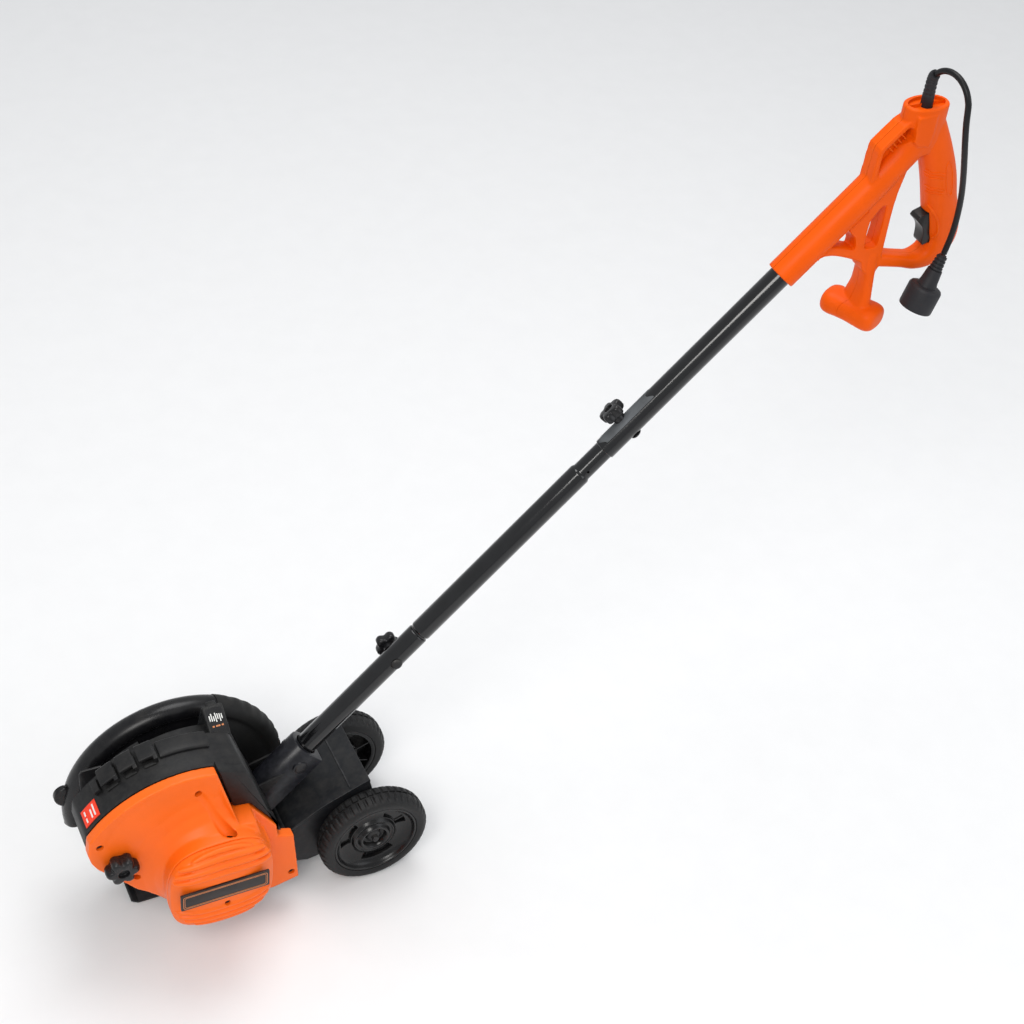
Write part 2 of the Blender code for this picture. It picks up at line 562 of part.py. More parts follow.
# ---------------------------------------------------------------- axle and wheels
axle_profile = [(-0.0005, AXLE_R * 0.8), (0.0005, AXLE_R), (0.1505, AXLE_R), (0.1515, AXLE_R * 0.8)]
make("axle", lathe((0, 0, AXLE_Z), Y_AXIS, axle_profile, 20), (0.5, 0.5, 0.52), 0.35, 1.0)
for side, y_in, y_out in (("near", WHEEL_W, 0.0), ("far", WHEEL_FAR_Y, WHEEL_FAR_Y + WHEEL_W)):
    s = 1.0 if y_out > y_in else -1.0
    o = (0, y_in, AXLE_Z)
    ax = (0, s, 0)
    w = WHEEL_W
    hub = [(0.0000, AXLE_R + GAP), (0.0000, 0.0110), (0.0060, 0.0110), (0.0120, 0.0160),
           (0.0120, 0.0400), (0.0020, 0.0460), (0.0020, 0.0495), (w - 0.0020, 0.0495),
           (w - 0.0020, 0.0450), (w - 0.0070, 0.0420), (w - 0.0090, 0.0340), (w - 0.0060, 0.0220),
           (w - 0.0020, 0.0200), (w - 0.0020, 0.0160), (w - 0.0070, 0.0140), (w - 0.0070, AXLE_R + GAP)]
    hub_ob = make("wheel_hub_" + side, lathe(o, ax, hub, 24, closed=True), BLACK, 0.4)
    for k in range(3):
        ang = math.radians(90 + 120 * k)
        win = []
        for r, da in ((0.0235, -0.55), (0.0245, -0.2), (0.0245, 0.2), (0.0235, 0.55), (0.0375, 0.62),
                      (0.0385, 0.2), (0.0385, -0.2), (0.0375, -0.62)):
            win.append((r * math.cos(ang + da), AXLE_Z + r * math.sin(ang + da)))
        boolean(hub_ob, make("win", prism(win, min(y_in, y_out) - 0.01, max(y_in, y_out) + 0.01)))
    tyre = [(0.0000, 0.0495 + GAP), (0.0000, 0.0580), (0.0045, 0.0630), (0.0090, WHEEL_R),
            (0.0130, WHEEL_R), (0.0135, 0.0625), (0.0145, 0.0625), (0.0150, WHEEL_R),
            (w - 0.0090, WHEEL_R), (w - 0.0045, 0.0630), (w, 0.0580), (w, 0.0495 + GAP)]
    make("tyre_" + side, lathe(o, ax, tyre, 36, closed=True), (0.02, 0.02, 0.02), 0.8)
    cap_y = y_out - s * 0.0065
    make("push_nut_" + side, tube((0, cap_y, AXLE_Z), ax, 0.0, 0.0035, 0.0085, AXLE_R + GAP, 24),
         (0.5, 0.5, 0.52), 0.35, 1.0)

# ---------------------------------------------------------------- edge guide with its clamp
GX, GZ = -0.2915, 0.1640
GUIDE_TRAVEL = 0.030
guide_pts = [(-0.3000, 0.2000), (-0.3030, 0.1950), (-0.3030, 0.0800), (-0.2700, 0.0150), (-0.2620, 0.0020),
             (-0.2600, 0.0000), (-0.1450, 0.0000), (-0.1430, 0.0020), (-0.1430, 0.0200), (-0.1500, 0.0260),
             (-0.2400, 0.0300), (-0.2760, 0.0900), (-0.2760, 0.1950), (-0.2790, 0.2000)]
guide = make("edge_guide", prism(guide_pts, 0.0985, 0.1010), (0.02, 0.02, 0.022), 0.4, 0.5, False)
fuse(guide, make("sole", box(-0.2580, -0.1450, 0.0620, 0.0995, 0.0000, 0.0025)))
slot = [(GX + 0.0034 * math.cos(math.radians(a)), GZ - GUIDE_TRAVEL + 0.0034 * math.sin(math.radians(a)))
        for a in range(180, 361, 30)]
slot += [(GX + 0.0034 * math.cos(math.radians(a)), GZ + 0.0034 * math.sin(math.radians(a)))
         for a in range(0, 181, 30)]
cut(guide, make("slot", prism(slot, 0.09, 0.11)))
make("guide_bolt", lathe((GX, 0, GZ), Y_AXIS, [(-0.0090, 0.0028), (0.1013, 0.0028), (0.1013, 0.0075),
                                                 (0.1030, 0.0075), (0.1038, 0.0060)], 20),
     (0.5, 0.5, 0.52), 0.35, 1.0)


def lobed(name, origin, axis, depth, r_base, r_amp, lobes, stem_r, stem_len, bore_r, bore_depth):
    """Hand knob with rounded lobes, a neck towards the part, and a bore for its stud."""
    axis, u, v = frame_of(axis)
    origin = Vector(origin)
    n = lobes * 4
    loops = []
    for t, k in ((0.0, 0.86), (depth * 0.15, 1.0), (depth * 0.8, 1.0), (depth, 0.84)):
        loop = []
        for i in range(n):
            a = 2 * math.pi * i / n
            r = (r_base + r_amp * math.cos(lobes * a)) * k
            loop.append(origin + axis * (stem_len + t) + (u * math.cos(a) + v * math.sin(a)) * r)
        loops.append(loop)
    ob = make(name, rings(loops), BLACK, 0.45)
    fuse(ob, make("stem", lathe(origin, axis, [(0.0, stem_r), (stem_len + 0.001, stem_r * 1.05)], 20)))
    cut(ob, make("bore", rod(origin, axis, -0.01, bore_depth, bore_r, 18)))
    return ob


lobed("guide_knob", (GX, FACE_Y - GAP, GZ), (0, -1, 0), 0.0160, 0.0150, 0.0020, 6, 0.0110, 0.0020,
      0.0028 + GAP, 0.0300)

# ---------------------------------------------------------------- pole
ORIGIN = pole_point(0)
wall = TUBE_WALL
make("lower_tube", tube(ORIGIN, POLE_DIR, -SOCKET_DEPTH + 0.001, LOWER_END, TUBE_R, TUBE_R - wall, 24),
     (0.012, 0.012, 0.014), 0.2, 0.0)
mid_profile = [(0.120, NECK_R - wall), (0.120, NECK_R), (LOWER_END + 0.0010, NECK_R),
               (LOWER_END + 0.0040, TUBE_R), (SHOULDER - 0.004, TUBE_R), (SHOULDER, NECK_R),
               (0.520, NECK_R), (0.520, NECK_R - wall), (SHOULDER - 0.001, NECK_R - wall),
               (SHOULDER - 0.005, TUBE_R - wall), (LOWER_END + 0.0050, TUBE_R - wall),
               (LOWER_END + 0.0020, NECK_R - wall)]
make("middle_tube", lathe(ORIGIN, POLE_DIR, mid_profile, 24, closed=True), (0.012, 0.012, 0.014), 0.2)
make("upper_tube", tube(ORIGIN, POLE_DIR, UPPER_START, TUBE_TOP, TUBE_R, TUBE_R - wall, 24),
     (0.012, 0.012, 0.014), 0.2)

tubes = {name: bpy.data.objects[name] for name in ("lower_tube", "middle_tube", "upper_tube")}
low_axis = (Vector(Y_AXIS) * 0.985 - POLE_UP * 0.171).normalized()
high_axis = (Vector(Y_AXIS) * 0.442 + POLE_UP * 0.897).normalized()
for name, s, ax, parts in (("lower", JOINT_LOW, low_axis, ("lower_tube", "middle_tube")),
                           ("upper", JOINT_HIGH, high_axis, ("middle_tube", "upper_tube"))):
    c = pole_point(s)
    for part in parts:
        boolean(tubes[part], make("h", rod(c, ax, -0.02, 0.02, 0.0033, 16)))
    domed = [(-0.0148, 0.0035), (-0.0140, 0.0060), (-0.0123, 0.0068), (-0.0123, 0.0030), (0.0250, 0.0030)]
    make(name + "_joint_bolt", lathe(c, ax, domed, 20), (0.02, 0.02, 0.022), 0.35, 0.5)
    lobed(name + "_joint_knob", c + ax * (TUBE_R + 0.0003), ax, 0.0110, 0.0125, 0.0018, 5, 0.0070, 0.0060,
          0.0030 + GAP, 0.0140)
boolean(tubes["lower_tube"], make("h", rod(pole_point(-0.019), Y_AXIS, -0.03, 0.03, 0.0033, 16)))
domed = [(-0.0212, 0.0040), (-0.0205, 0.0062), (-0.0193, 0.0068), (-0.0193, 0.0030), (0.0240, 0.0030)]
make("socket_bolt", lathe(pole_point(-0.019), Y_AXIS, domed, 20), (0.02, 0.02, 0.022), 0.35, 0.5)
# ---------------------------------------------------------------- handle
BARREL_R = 0.0162
barrel = lathe(ORIGIN, POLE_DIR, [(COLLAR, BARREL_R - 0.001), (COLLAR + 0.002, BARREL_R), (0.846, BARREL_R),
                                  (0.872, 0.0140), (0.905, 0.0130)], 24)
handle = make("handle", barrel, ORANGE, 0.4)
head_path = [(HEAD_X, 0.812, 0.0180, 0.0130, 0.9), (HEAD_X, 0.828, HEAD_HALF_X, HEAD_HALF_Y, 0.9),
             (HEAD_X, HEAD_TOP_Z - 0.0015, HEAD_HALF_X, HEAD_HALF_Y, 0.9),
             (HEAD_X, HEAD_TOP_Z, HEAD_HALF_X - 0.0015, HEAD_HALF_Y - 0.0015, 0.9)]
fuse(handle, make("head_tool", sweep(head_path, 28)))
gx, gy = GRIP_HALF_X, GRIP_HALF_Y
grip_path = [(0.5880, 0.8420, 0.0150, 0.0130, 0.85), (0.6020, 0.8100, gx - 0.0010, gy, 0.85),
             (0.6150, 0.7780, gx, gy, 0.85), (0.6250, 0.7460, gx, gy, 0.85),
             (0.6345, 0.7180, 0.0195, gy, 0.8), (0.6370, 0.6980, 0.0180, 0.0150, 0.8),
             (0.6270, 0.6800, 0.0135, 0.0140, 0.75), (0.6090, 0.6745, 0.0085, 0.0130, 0.7),
             (0.5900, 0.6790, 0.0070, 0.0115, 0.6), (0.5600, 0.6870, 0.0080, 0.0110, 0.6)]
fuse(handle, make("grip_tool", sweep(grip_path)))
# broad web under the barrel with a long slot, and the bar that closes a small triangle
WEB_HALF = 0.0105
web = [(0.5120, 0.7420), (0.5240, 0.7140), (0.5250, 0.7060), (0.5370, 0.6900), (0.5410, 0.6800),
       (0.5590, 0.6780), (0.5610, 0.7000), (0.5600, 0.7420), (0.5630, 0.7800), (0.5640, 0.8000),
       (0.5450, 0.7900)]
fuse(handle, make("web_tool", prism(web, POLE_Y - WEB_HALF, POLE_Y + WEB_HALF)))
slot = [(0.5350, 0.7130), (0.5350, 0.7390), (0.5400, 0.7480), (0.5460, 0.7560), (0.5500, 0.7570),
        (0.5515, 0.7530), (0.5515, 0.7130), (0.5480, 0.7075), (0.5390, 0.7075)]
cut(handle, make("slot_tool", prism(slot, POLE_Y - 0.03, POLE_Y + 0.03)))
bars = {
    "bar_front": [(0.4820, 0.7130, 0.0060, WEB_HALF, 0.6), (0.5000, 0.7110, 0.0055, WEB_HALF, 0.6),
                  (0.5230, 0.7030, 0.0060, WEB_HALF, 0.6), (0.5400, 0.6950, 0.0070, WEB_HALF, 0.6)],
    "stem": [(0.5500, 0.6980, 0.0080, 0.0110, 0.6), (0.5510, 0.6790, 0.0070, 0.0125, 0.6),
             (0.5520, 0.6560, 0.0065, 0.0150, 0.7), (0.5520, 0.6330, 0.0080, 0.0180, 0.8)],
}
for name, path in bars.items():
    fuse(handle, make(name, sweep(path, 12)))
# cross grip below the junction, turned to suit the left hand
CROSS_TURN = 26.0
cross = lathe((0.0, 0.0, 0.0), Y_AXIS, [(-0.0315, 0.0060), (-0.0295, 0.0104), (-0.0230, 0.0130),
                                        (-0.0100, 0.0128), (0.0100, 0.0126), (0.0240, 0.0130),
                                        (0.0315, 0.0104), (0.0335, 0.0060)], 16)
for v in cross.verts:
    across, along = v.co.x * 1.45, v.co.y
    turn = math.radians(CROSS_TURN)
    v.co.x = 0.548 + across * math.cos(turn) - along * math.sin(turn)
    v.co.y = POLE_Y + across * math.sin(turn) + along * math.cos(turn)
    v.co.z = 0.6240 + v.co.z
fuse(handle, make("cross_tool", cross))
# strap that takes a loop of the extension cord
strap_out = [(0.5235, 0.7750), (0.5250, 0.8220), (0.5265, 0.8270), (0.5480, 0.8480), (0.5530, 0.8510),
             (0.5640, 0.8530)]
strap_in = [(0.5640, 0.8475), (0.5545, 0.8455), (0.5320, 0.8245), (0.5305, 0.8205), (0.5300, 0.7850)]
fuse(handle, make("strap_tool", prism(strap_out + strap_in, POLE_Y - WEB_HALF, POLE_Y + WEB_HALF)))
window = [(0.5320, 0.8080), (0.5318, 0.8195), (0.5340, 0.8245), (0.5540, 0.8440), (0.5590, 0.8445),
          (0.5600, 0.8330), (0.5500, 0.8210), (0.5390, 0.8080)]
cut(handle, make("window_tool", prism(window, POLE_Y - 0.03, POLE_Y + 0.03)))

# hollow it out for the tube, the switch, the leads and the cord
HEAD_AXIS = (HEAD_X, POLE_Y, 0)
dish_path = [(HEAD_X, HEAD_TOP_Z - 0.0035, HEAD_HALF_X - 0.0045, HEAD_HALF_Y - 0.0035, 0.9),
             (HEAD_X, HEAD_TOP_Z + 0.0050, HEAD_HALF_X - 0.0045, HEAD_HALF_Y - 0.0035, 0.9)]
hollow_x, hollow_y = gx - 0.0035, gy - 0.0035
hollow_path = [(0.590, 0.834, 0.0110, 0.0095, 0.85), (0.604, 0.808, hollow_x, hollow_y, 0.85),
               (0.616, 0.776, hollow_x, hollow_y, 0.85), (0.626, 0.744, hollow_x, hollow_y, 0.85),
               (0.634, 0.716, 0.0145, hollow_y, 0.8), (0.634, 0.702, 0.0120, 0.0120, 0.8)]
cut(handle,
    make("t1", rod(ORIGIN, POLE_DIR, COLLAR - 0.02, TUBE_TOP + 0.001, TUBE_R + 0.00025, 24)),
    make("t2", rod(ORIGIN, POLE_DIR, TUBE_TOP - 0.004, 0.905, 0.0090, 20)),
    make("t3", lathe(HEAD_AXIS, (0, 0, 1), [(0.822, 0.0090), (0.832, 0.0125), (0.8560, 0.0125)], 24)),
    make("t4", rod(HEAD_AXIS, (0, 0, 1), 0.850, 0.880, 0.0068, 20)),
    make("t5", sweep(dish_path, 28)),
    make("t6", sweep(hollow_path)))

# trigger with a pocket it slides into
TRIG_DIR = Vector((0.957, 0.0, 0.290))
TRIG_UP = Vector((-0.290, 0.0, 0.957))
trig_c = Vector((0.6180, POLE_Y, 0.7165))


def trigger_loop(grow_by, front, back, up, down):
    """Side profile of the paddle with a finger hollow, as points in the XZ plane."""
    prof = [(-back, -down), (front - 0.0015, -down), (front + 0.0005, -down * 0.6), (front - 0.0020, 0.0),
            (front + 0.0005, up * 0.6), (front + 0.0030, up), (-back, up)]
    pts = []
    for f, h in prof:
        f2 = f + (grow_by if f > 0 else -grow_by)
        h2 = h + (grow_by if h > 0 else -grow_by if h < 0 else 0.0)
        p = trig_c - TRIG_DIR * f2 + TRIG_UP * h2
        pts.append((p.x, p.z))
    return pts


pocket = trigger_loop(0.0006, 0.0120, 0.0150, 0.0200, 0.0200)
cut(handle, make("pocket", prism(pocket, POLE_Y - 0.0081, POLE_Y + 0.0081)))
trigger = make("trigger", prism(trigger_loop(0.0, 0.0120, 0.0030, 0.0200, 0.0200), POLE_Y - 0.0075,
                                POLE_Y + 0.0075), BLACK, 0.35)
bevel(trigger, 0.0012, 2, 50)
sw_c = trig_c + TRIG_DIR * 0.0125
sw_pts = []
for f, h in ((-0.0035, -0.0130), (0.0075, -0.0130), (0.0075, 0.0130), (-0.0035, 0.0130)):
    p = sw_c + TRIG_DIR * f + TRIG_UP * h
    sw_pts.append((p.x, p.z))

# split into two moulded halves on the middle plane
handle.name = "handle_shell_near"
boolean(handle, make("k", box(0.41, 0.71, POLE_Y - 0.061, POLE_Y - GAP / 2, 0.56, 0.91)), "INTERSECT")
mirrored = bmesh.new()
mirrored.from_mesh(handle.data)
for v in mirrored.verts:
    v.co.y = 2 * POLE_Y - v.co.y
make("handle_shell_far", mirrored, ORANGE, 0.4)
switch_solid = prism(sw_pts, POLE_Y - 0.0070, POLE_Y + 0.0070)
switch = make("switch_body", switch_solid, (0.08, 0.08, 0.08), 0.5, 0.0, False)

# trigger return spring: a short zigzag leaf between paddle and switch
spring_pts = []
zig = [(0.0034 if k % 2 == 0 else 0.0080, -0.0100 + 0.0040 * k) for k in range(6)]
upper = [trig_c + TRIG_DIR * f + TRIG_UP * h for f, h in zig]
lower = [trig_c + TRIG_DIR * (f + 0.0007) + TRIG_UP * h for f, h in reversed(zig)]
make("trigger_spring", prism([(p.x, p.z) for p in upper + lower], POLE_Y - 0.0020, POLE_Y + 0.0020),
     (0.6, 0.6, 0.62), 0.3, 1.0, False)

# ---------------------------------------------------------------- cord, strain relief and plug
relief_pts = [((0.5770, 0.0700, 0.8500), 0.0062), ((0.5770, 0.0700, 0.8600), 0.0062),
              ((0.5769, 0.0702, 0.8700), 0.0062), ((0.5768, 0.0703, 0.8800), 0.0060),
              ((0.5768, 0.0703, 0.8890), 0.0058), ((0.5768, 0.0698, 0.8940), 0.0056),
              ((0.5768, 0.0688, 0.8964), 0.0055), ((0.5769, 0.0675, 0.8979), 0.0052)]


def bent_rod(points, n=14):
    loops = []
    for k, (p, r) in enumerate(points):
        a = Vector(points[max(k - 1, 0)][0])
        b = Vector(points[min(k + 1, len(points) - 1)][0])
        along, u, v = frame_of(b - a)
        loops.append([Vector(p) + (u * math.cos(t) + v * math.sin(t)) * r
                      for t in (2 * math.pi * i / n for i in range(n))])
    return rings(loops)


make("strain_relief", bent_rod(relief_pts), (0.015, 0.015, 0.015), 0.6)
cord_pts = [(0.5770, 0.0672, 0.8983), (0.5774, 0.0638, 0.9023), (0.5780, 0.0597, 0.9056),
            (0.5786, 0.0550, 0.9080), (0.5793, 0.0500, 0.9094), (0.5800, 0.0448, 0.9098),
            (0.5807, 0.0396, 0.9092), (0.5813, 0.0347, 0.9076), (0.5819, 0.0301, 0.9051),
            (0.5824, 0.0260, 0.9017), (0.5828, 0.0226, 0.8976), (0.5832, 0.0200, 0.8929),
            (0.5836, 0.0184, 0.8879), (0.5854, 0.0168, 0.8701), (0.5896, 0.0167, 0.8513),
            (0.5955, 0.0182, 0.8324), (0.6023, 0.0210, 0.8133), (0.6093, 0.0246, 0.7941),
            (0.6156, 0.0283, 0.7751), (0.6205, 0.0317, 0.7561), (0.6233, 0.0341, 0.7374),
            (0.6234, 0.0353, 0.7190), (0.6199, 0.0349, 0.7010)]
curve = bpy.data.curves.new("cord", "CURVE")
curve.dimensions = "3D"
curve.bevel_depth = CORD_R
curve.bevel_resolution = 3
curve.use_fill_caps = True
spline = curve.splines.new("POLY")
spline.points.add(len(cord_pts) - 1)
for point, co in zip(spline.points, cord_pts):
    point.co = (co[0], co[1], co[2], 1.0)
cord = bpy.data.objects.new("cord", curve)
bpy.context.scene.collection.objects.link(cord)
cord.data.materials.append(material("cord_mat", (0.015, 0.015, 0.015), 0.45))

plug_top = Vector((0.6193, 0.0348, 0.6992))
plug_dir = Vector((-0.34, -0.05, -0.94)).normalized()
plug_profile = [(0.0, 0.0040), (0.015, 0.0056), (0.017, 0.0075), (0.036, 0.0100), (0.0365, 0.0155),
                (0.0390, 0.0180), (0.0620, 0.0180), (0.0640, 0.0168)]
plug = make("plug_body", lathe(plug_top, plug_dir, plug_profile, 32), (0.02, 0.02, 0.02), 0.6)
cut(plug, make("recess", rod(plug_top, plug_dir, 0.0530, 0.07, 0.0145, 28)))
_, pu, pv = frame_of(plug_dir)
for index, side in enumerate((-1.0, 1.0)):
    c = plug_top + plug_dir * 0.0532 + pv * (0.0064 * side)
    loops = []
    for t in (0.0, 0.0095):
        loops.append([c + plug_dir * t + pu * (0.0031 * a) + pv * (0.0008 * b)
                      for a, b in ((-1, -1), (1, -1), (1, 1), (-1, 1))])
    make("plug_blade_%d" % (index + 1), rings(loops), (0.7, 0.6, 0.35), 0.3, 1.0, False)

# ---------------------------------------------------------------- put the origin under the middle
for ob in bpy.data.objects:
    if ob.type == "MESH":
        for v in ob.data.vertices:
            v.co.x -= CENTRE_X
            v.co.y -= CENTRE_Y
    elif ob.type == "CURVE":
        for sp in ob.data.splines:
            for pt in sp.points:
                pt.co.x -= CENTRE_X
                pt.co.y -= CENTRE_Y
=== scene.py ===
"""Looks of the corded lawn edger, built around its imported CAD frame.

Lengths are in metres, apart from the tables in mm() and stations(), which are in millimetres.
"""
from math import copysign, cos, pi, radians, sin

import bmesh
import bpy
from mathutils import Matrix, Vector
from mathutils.bvhtree import BVHTree


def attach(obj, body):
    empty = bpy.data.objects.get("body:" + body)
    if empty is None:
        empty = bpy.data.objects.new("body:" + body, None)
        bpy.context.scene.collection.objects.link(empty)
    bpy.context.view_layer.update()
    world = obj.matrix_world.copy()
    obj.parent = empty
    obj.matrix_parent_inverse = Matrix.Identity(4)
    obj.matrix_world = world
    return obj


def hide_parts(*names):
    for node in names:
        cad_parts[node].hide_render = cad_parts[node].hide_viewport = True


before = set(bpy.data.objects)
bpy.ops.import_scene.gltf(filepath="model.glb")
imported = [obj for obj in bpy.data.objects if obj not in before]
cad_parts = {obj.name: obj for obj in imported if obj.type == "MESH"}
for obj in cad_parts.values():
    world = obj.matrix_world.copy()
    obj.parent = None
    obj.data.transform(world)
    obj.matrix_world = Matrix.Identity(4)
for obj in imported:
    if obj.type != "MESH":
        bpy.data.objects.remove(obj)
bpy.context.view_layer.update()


def mm(width, *values):
    """Millimetres, one after another, as rows of the given width in metres."""
    return list(zip(*[iter([round(v / 1000, 7) for v in values])] * width))


def stations(*values):
    """Rows for sweep(): x, z and two half widths in millimetres, then the power of the section."""
    return [tuple(round(v / 1000, 7) for v in row[:4]) + row[4:] for row in zip(*[iter(values)] * 5)]


# ---- driving dimensions
# Pieces are modelled with the wheel axle at x = 0 and the near wheel's face at y = 0, then moved by SHIFT.
SHIFT = Vector((-0.1622, -0.045, 0))
GAP = 0.0003
WHEEL_R = 0.064
WHEEL_W = 0.028
WHEEL_FAR_Y = 0.123
AXLE_R = 0.004
SPINDLE_X, SPINDLE_Z = -0.194, 0.113
MOTOR_Z = 0.136
BODY_CX, BODY_CZ, BODY_R = -0.215, 0.131, 0.1275
FACE_Y = 0.0005
PLATE_BACK_Y = 0.0125
BODY_SPLIT_Y, BODY_FAR_Y = 0.073, 0.098
BULGE_R, BULGE_Y, CAP_Y = 0.059, -0.0385, -0.056
BADGE_X0, BADGE_X1 = -0.2455, -0.1495
GUARD_R, GUARD_NEAR_Y, GUARD_FAR_Y = 0.125, 0.112, 0.138
POLE_ANGLE = radians(45.4)
POLE_Y = 0.07
POLE_X0, POLE_Z0 = -0.06, 0.177
TUBE_R, NECK_R, TUBE_WALL = 0.012, 0.0105, 0.0012
LOWER_END, SHOULDER, UPPER_START, COLLAR = 0.18, 0.431, 0.464, 0.716
JOINT_LOW, JOINT_HIGH = 0.141, 0.499
BARREL_R = 0.0162
HEAD_X, HEAD_HALF_X, HEAD_HALF_Y, HEAD_TOP_Z = 0.577, 0.0252, 0.0158, 0.866
SCREWS = mm(2, -310, 193, -275.5, 138, -101, 56, -205.5, 236)
SPINDLE = (SPINDLE_X, 0, SPINDLE_Z)
MOTOR = (SPINDLE_X, 0, MOTOR_Z)
POLE_DIR = Vector((cos(POLE_ANGLE), 0, sin(POLE_ANGLE)))
POLE_UP = Vector((-POLE_DIR.z, 0, POLE_DIR.x))
Y_AXIS = Vector((0, 1, 0))
Z_AXIS = Vector((0, 0, 1))

# ---- camera, set before anything else is made
CAMERA_AT = Vector((-0.5975, -1.2544, 1.8011))
CAMERA_RIGHT = Vector((0.8996, -0.4278, 0.0879))
CAMERA_UP = Vector((0.2263, 0.6287, 0.744))
CAMERA_LENS = 68.63


def add(name, data, mat=None):
    ob = bpy.data.objects.new(name, data)
    bpy.context.scene.collection.objects.link(ob)
    if mat:
        data.materials.append(mat)
    return ob


def make_camera():
    data = bpy.data.cameras.new("camera")
    data.lens = CAMERA_LENS
    data.sensor_width = 36
    cam = add("camera", data)
    right = CAMERA_RIGHT.normalized()
    up = (CAMERA_UP - right * CAMERA_UP.dot(right)).normalized()
    back = right.cross(up)
    cam.matrix_world = Matrix.Translation(CAMERA_AT + SHIFT) @ Matrix((right, up, back)).transposed().to_4x4()
    bpy.context.scene.camera = cam


make_camera()


# ---- materials
def node(tree, kind, **values):
    made = tree.nodes.new(kind)
    for key, value in values.items():
        if isinstance(value, bpy.types.NodeSocket):
            tree.links.new(value, made.inputs[key])
        elif key in made.inputs:
            made.inputs[key].default_value = value
        else:
            setattr(made, key, value)
    return made


def noise(tree, place, **values):
    return node(tree, "ShaderNodeTexNoise", Vector=place, **values).outputs["Fac"]


def times(tree, a, b):
    made = node(tree, "ShaderNodeMath", operation="MULTIPLY")
    tree.links.new(a, made.inputs[0])
    tree.links.new(b, made.inputs[1])
    return made.outputs[0]


def ramp(tree, source, stops):
    made = tree.nodes.new("ShaderNodeValToRGB")
    while len(made.color_ramp.elements) < len(stops):
        made.color_ramp.elements.new(0.5)
    for element, (place, value) in zip(made.color_ramp.elements, stops):
        element.position = place
        element.color = (value, value, value, 1)
    tree.links.new(source, made.inputs["Fac"])
    return made.outputs["Color"]


def mix(tree, factor, a, b):
    made = node(tree, "ShaderNodeMix", data_type="RGBA")
    tree.links.new(factor, made.inputs[0])
    for socket, value in ((made.inputs[6], a), (made.inputs[7], b)):
        if isinstance(value, tuple):
            socket.default_value = (*value, 1)
        else:
            tree.links.new(value, socket)
    return made.outputs[2]


def surface(name, rgb, rough=0.45, metal=0, grain=0.12, grain_scale=1400, shade=0.25, dust=0,
        dust_rgb=(0.23, 0.21, 0.18), wear=0, wear_rgb=(0.3, 0.3, 0.3), coat=0, stretch=None, spec=0.32):
    """A moulded, painted or turned surface: tone variation, settled dust, rubbed edges, fine grain and scratches."""
    mat = bpy.data.materials.new(name)
    mat.use_nodes = True
    tree = mat.node_tree
    links = tree.links
    shader = tree.nodes["Principled BSDF"]
    place = node(tree, "ShaderNodeTexCoord").outputs["Object"]
    streaked = place
    if stretch:
        turned = node(tree, "ShaderNodeMapping", Vector=place, Rotation=stretch[0], Scale=stretch[1])
        streaked = turned.outputs["Vector"]
    tone = noise(tree, place, Scale=22, Detail=6, Roughness=0.6)
    low = tuple(c * (1 - shade) for c in rgb)
    high = tuple(min(1, c * (1 + shade)) for c in rgb)
    colour = mix(tree, ramp(tree, tone, ((0.3, 0), (0.7, 1))), low, high)
    rough_low, rough_high = max(0.04, rough - 0.07), min(1, rough + 0.09)
    rough_value = ramp(tree, tone, ((0.25, rough_low), (0.75, rough_high)))
    if dust:
        cloud = noise(tree, place, Scale=55, Detail=9, Roughness=0.72)
        facing = node(tree, "ShaderNodeSeparateXYZ")
        links.new(node(tree, "ShaderNodeNewGeometry").outputs["Normal"], facing.inputs[0])
        lying = ramp(tree, facing.outputs["Z"], ((0, 0.25), (0.9, 1)))
        settled = times(tree, lying, ramp(tree, cloud, ((0.42, 0), (0.72, dust))))
        colour = mix(tree, settled, colour, dust_rgb)
        rough_value = mix(tree, settled, rough_value, (0.9, 0.9, 0.9))
    if wear:
        edge = ramp(tree, node(tree, "ShaderNodeNewGeometry").outputs["Pointiness"], ((0.51, 0), (0.58, 1)))
        spots = noise(tree, place, Scale=180, Detail=5)
        broken = ramp(tree, spots, ((0.45, 0), (0.6, wear)))
        colour = mix(tree, times(tree, edge, broken), colour, wear_rgb)
    fine = noise(tree, streaked, Scale=grain_scale, Detail=3)
    bump = node(tree, "ShaderNodeBump", Strength=grain, Distance=0.0003, Height=fine)
    links.new(bump.outputs["Normal"], shader.inputs["Normal"])
    links.new(colour, shader.inputs["Base Color"])
    links.new(rough_value, shader.inputs["Roughness"])
    for key, value in (("Metallic", metal), ("Specular IOR Level", 0.5 if metal > 0.5 else spec),
            ("Coat Weight", coat), ("Coat Roughness", 0.12)):
        shader.inputs[key].default_value = value
    mat.diffuse_color = (*rgb, 1)
    return mat


ALONG_POLE = ((0, POLE_ANGLE, 0), (0.02, 1, 1))
ORANGE = surface("orange_housing", (0.88, 0.135, 0.006), 0.38, grain=0.1, shade=0.04, dust=0.06,
    dust_rgb=(0.6, 0.16, 0.03), wear=0.12, wear_rgb=(1, 0.3, 0.06), spec=0.28)
ORANGE_GRIP = surface("orange_handle", (0.77, 0.089, 0), 0.42, grain=0.14, shade=0.04, dust=0.03,
    dust_rgb=(0.6, 0.15, 0.01), wear=0.1, wear_rgb=(0.95, 0.25, 0.02), spec=0.13)
MATTE_BLACK = surface("black_housing", (0.0055, 0.0055, 0.006), 0.5, grain=0.3, grain_scale=1100, shade=0.12,
    dust=0.06, wear=0.3, wear_rgb=(0.03, 0.03, 0.03))
SATIN_BLACK = surface("black_sleeve", (0.006, 0.0065, 0.009), 0.3, grain=0.08, shade=0.1, dust=0.02, wear=0.2,
    wear_rgb=(0.04, 0.04, 0.05))
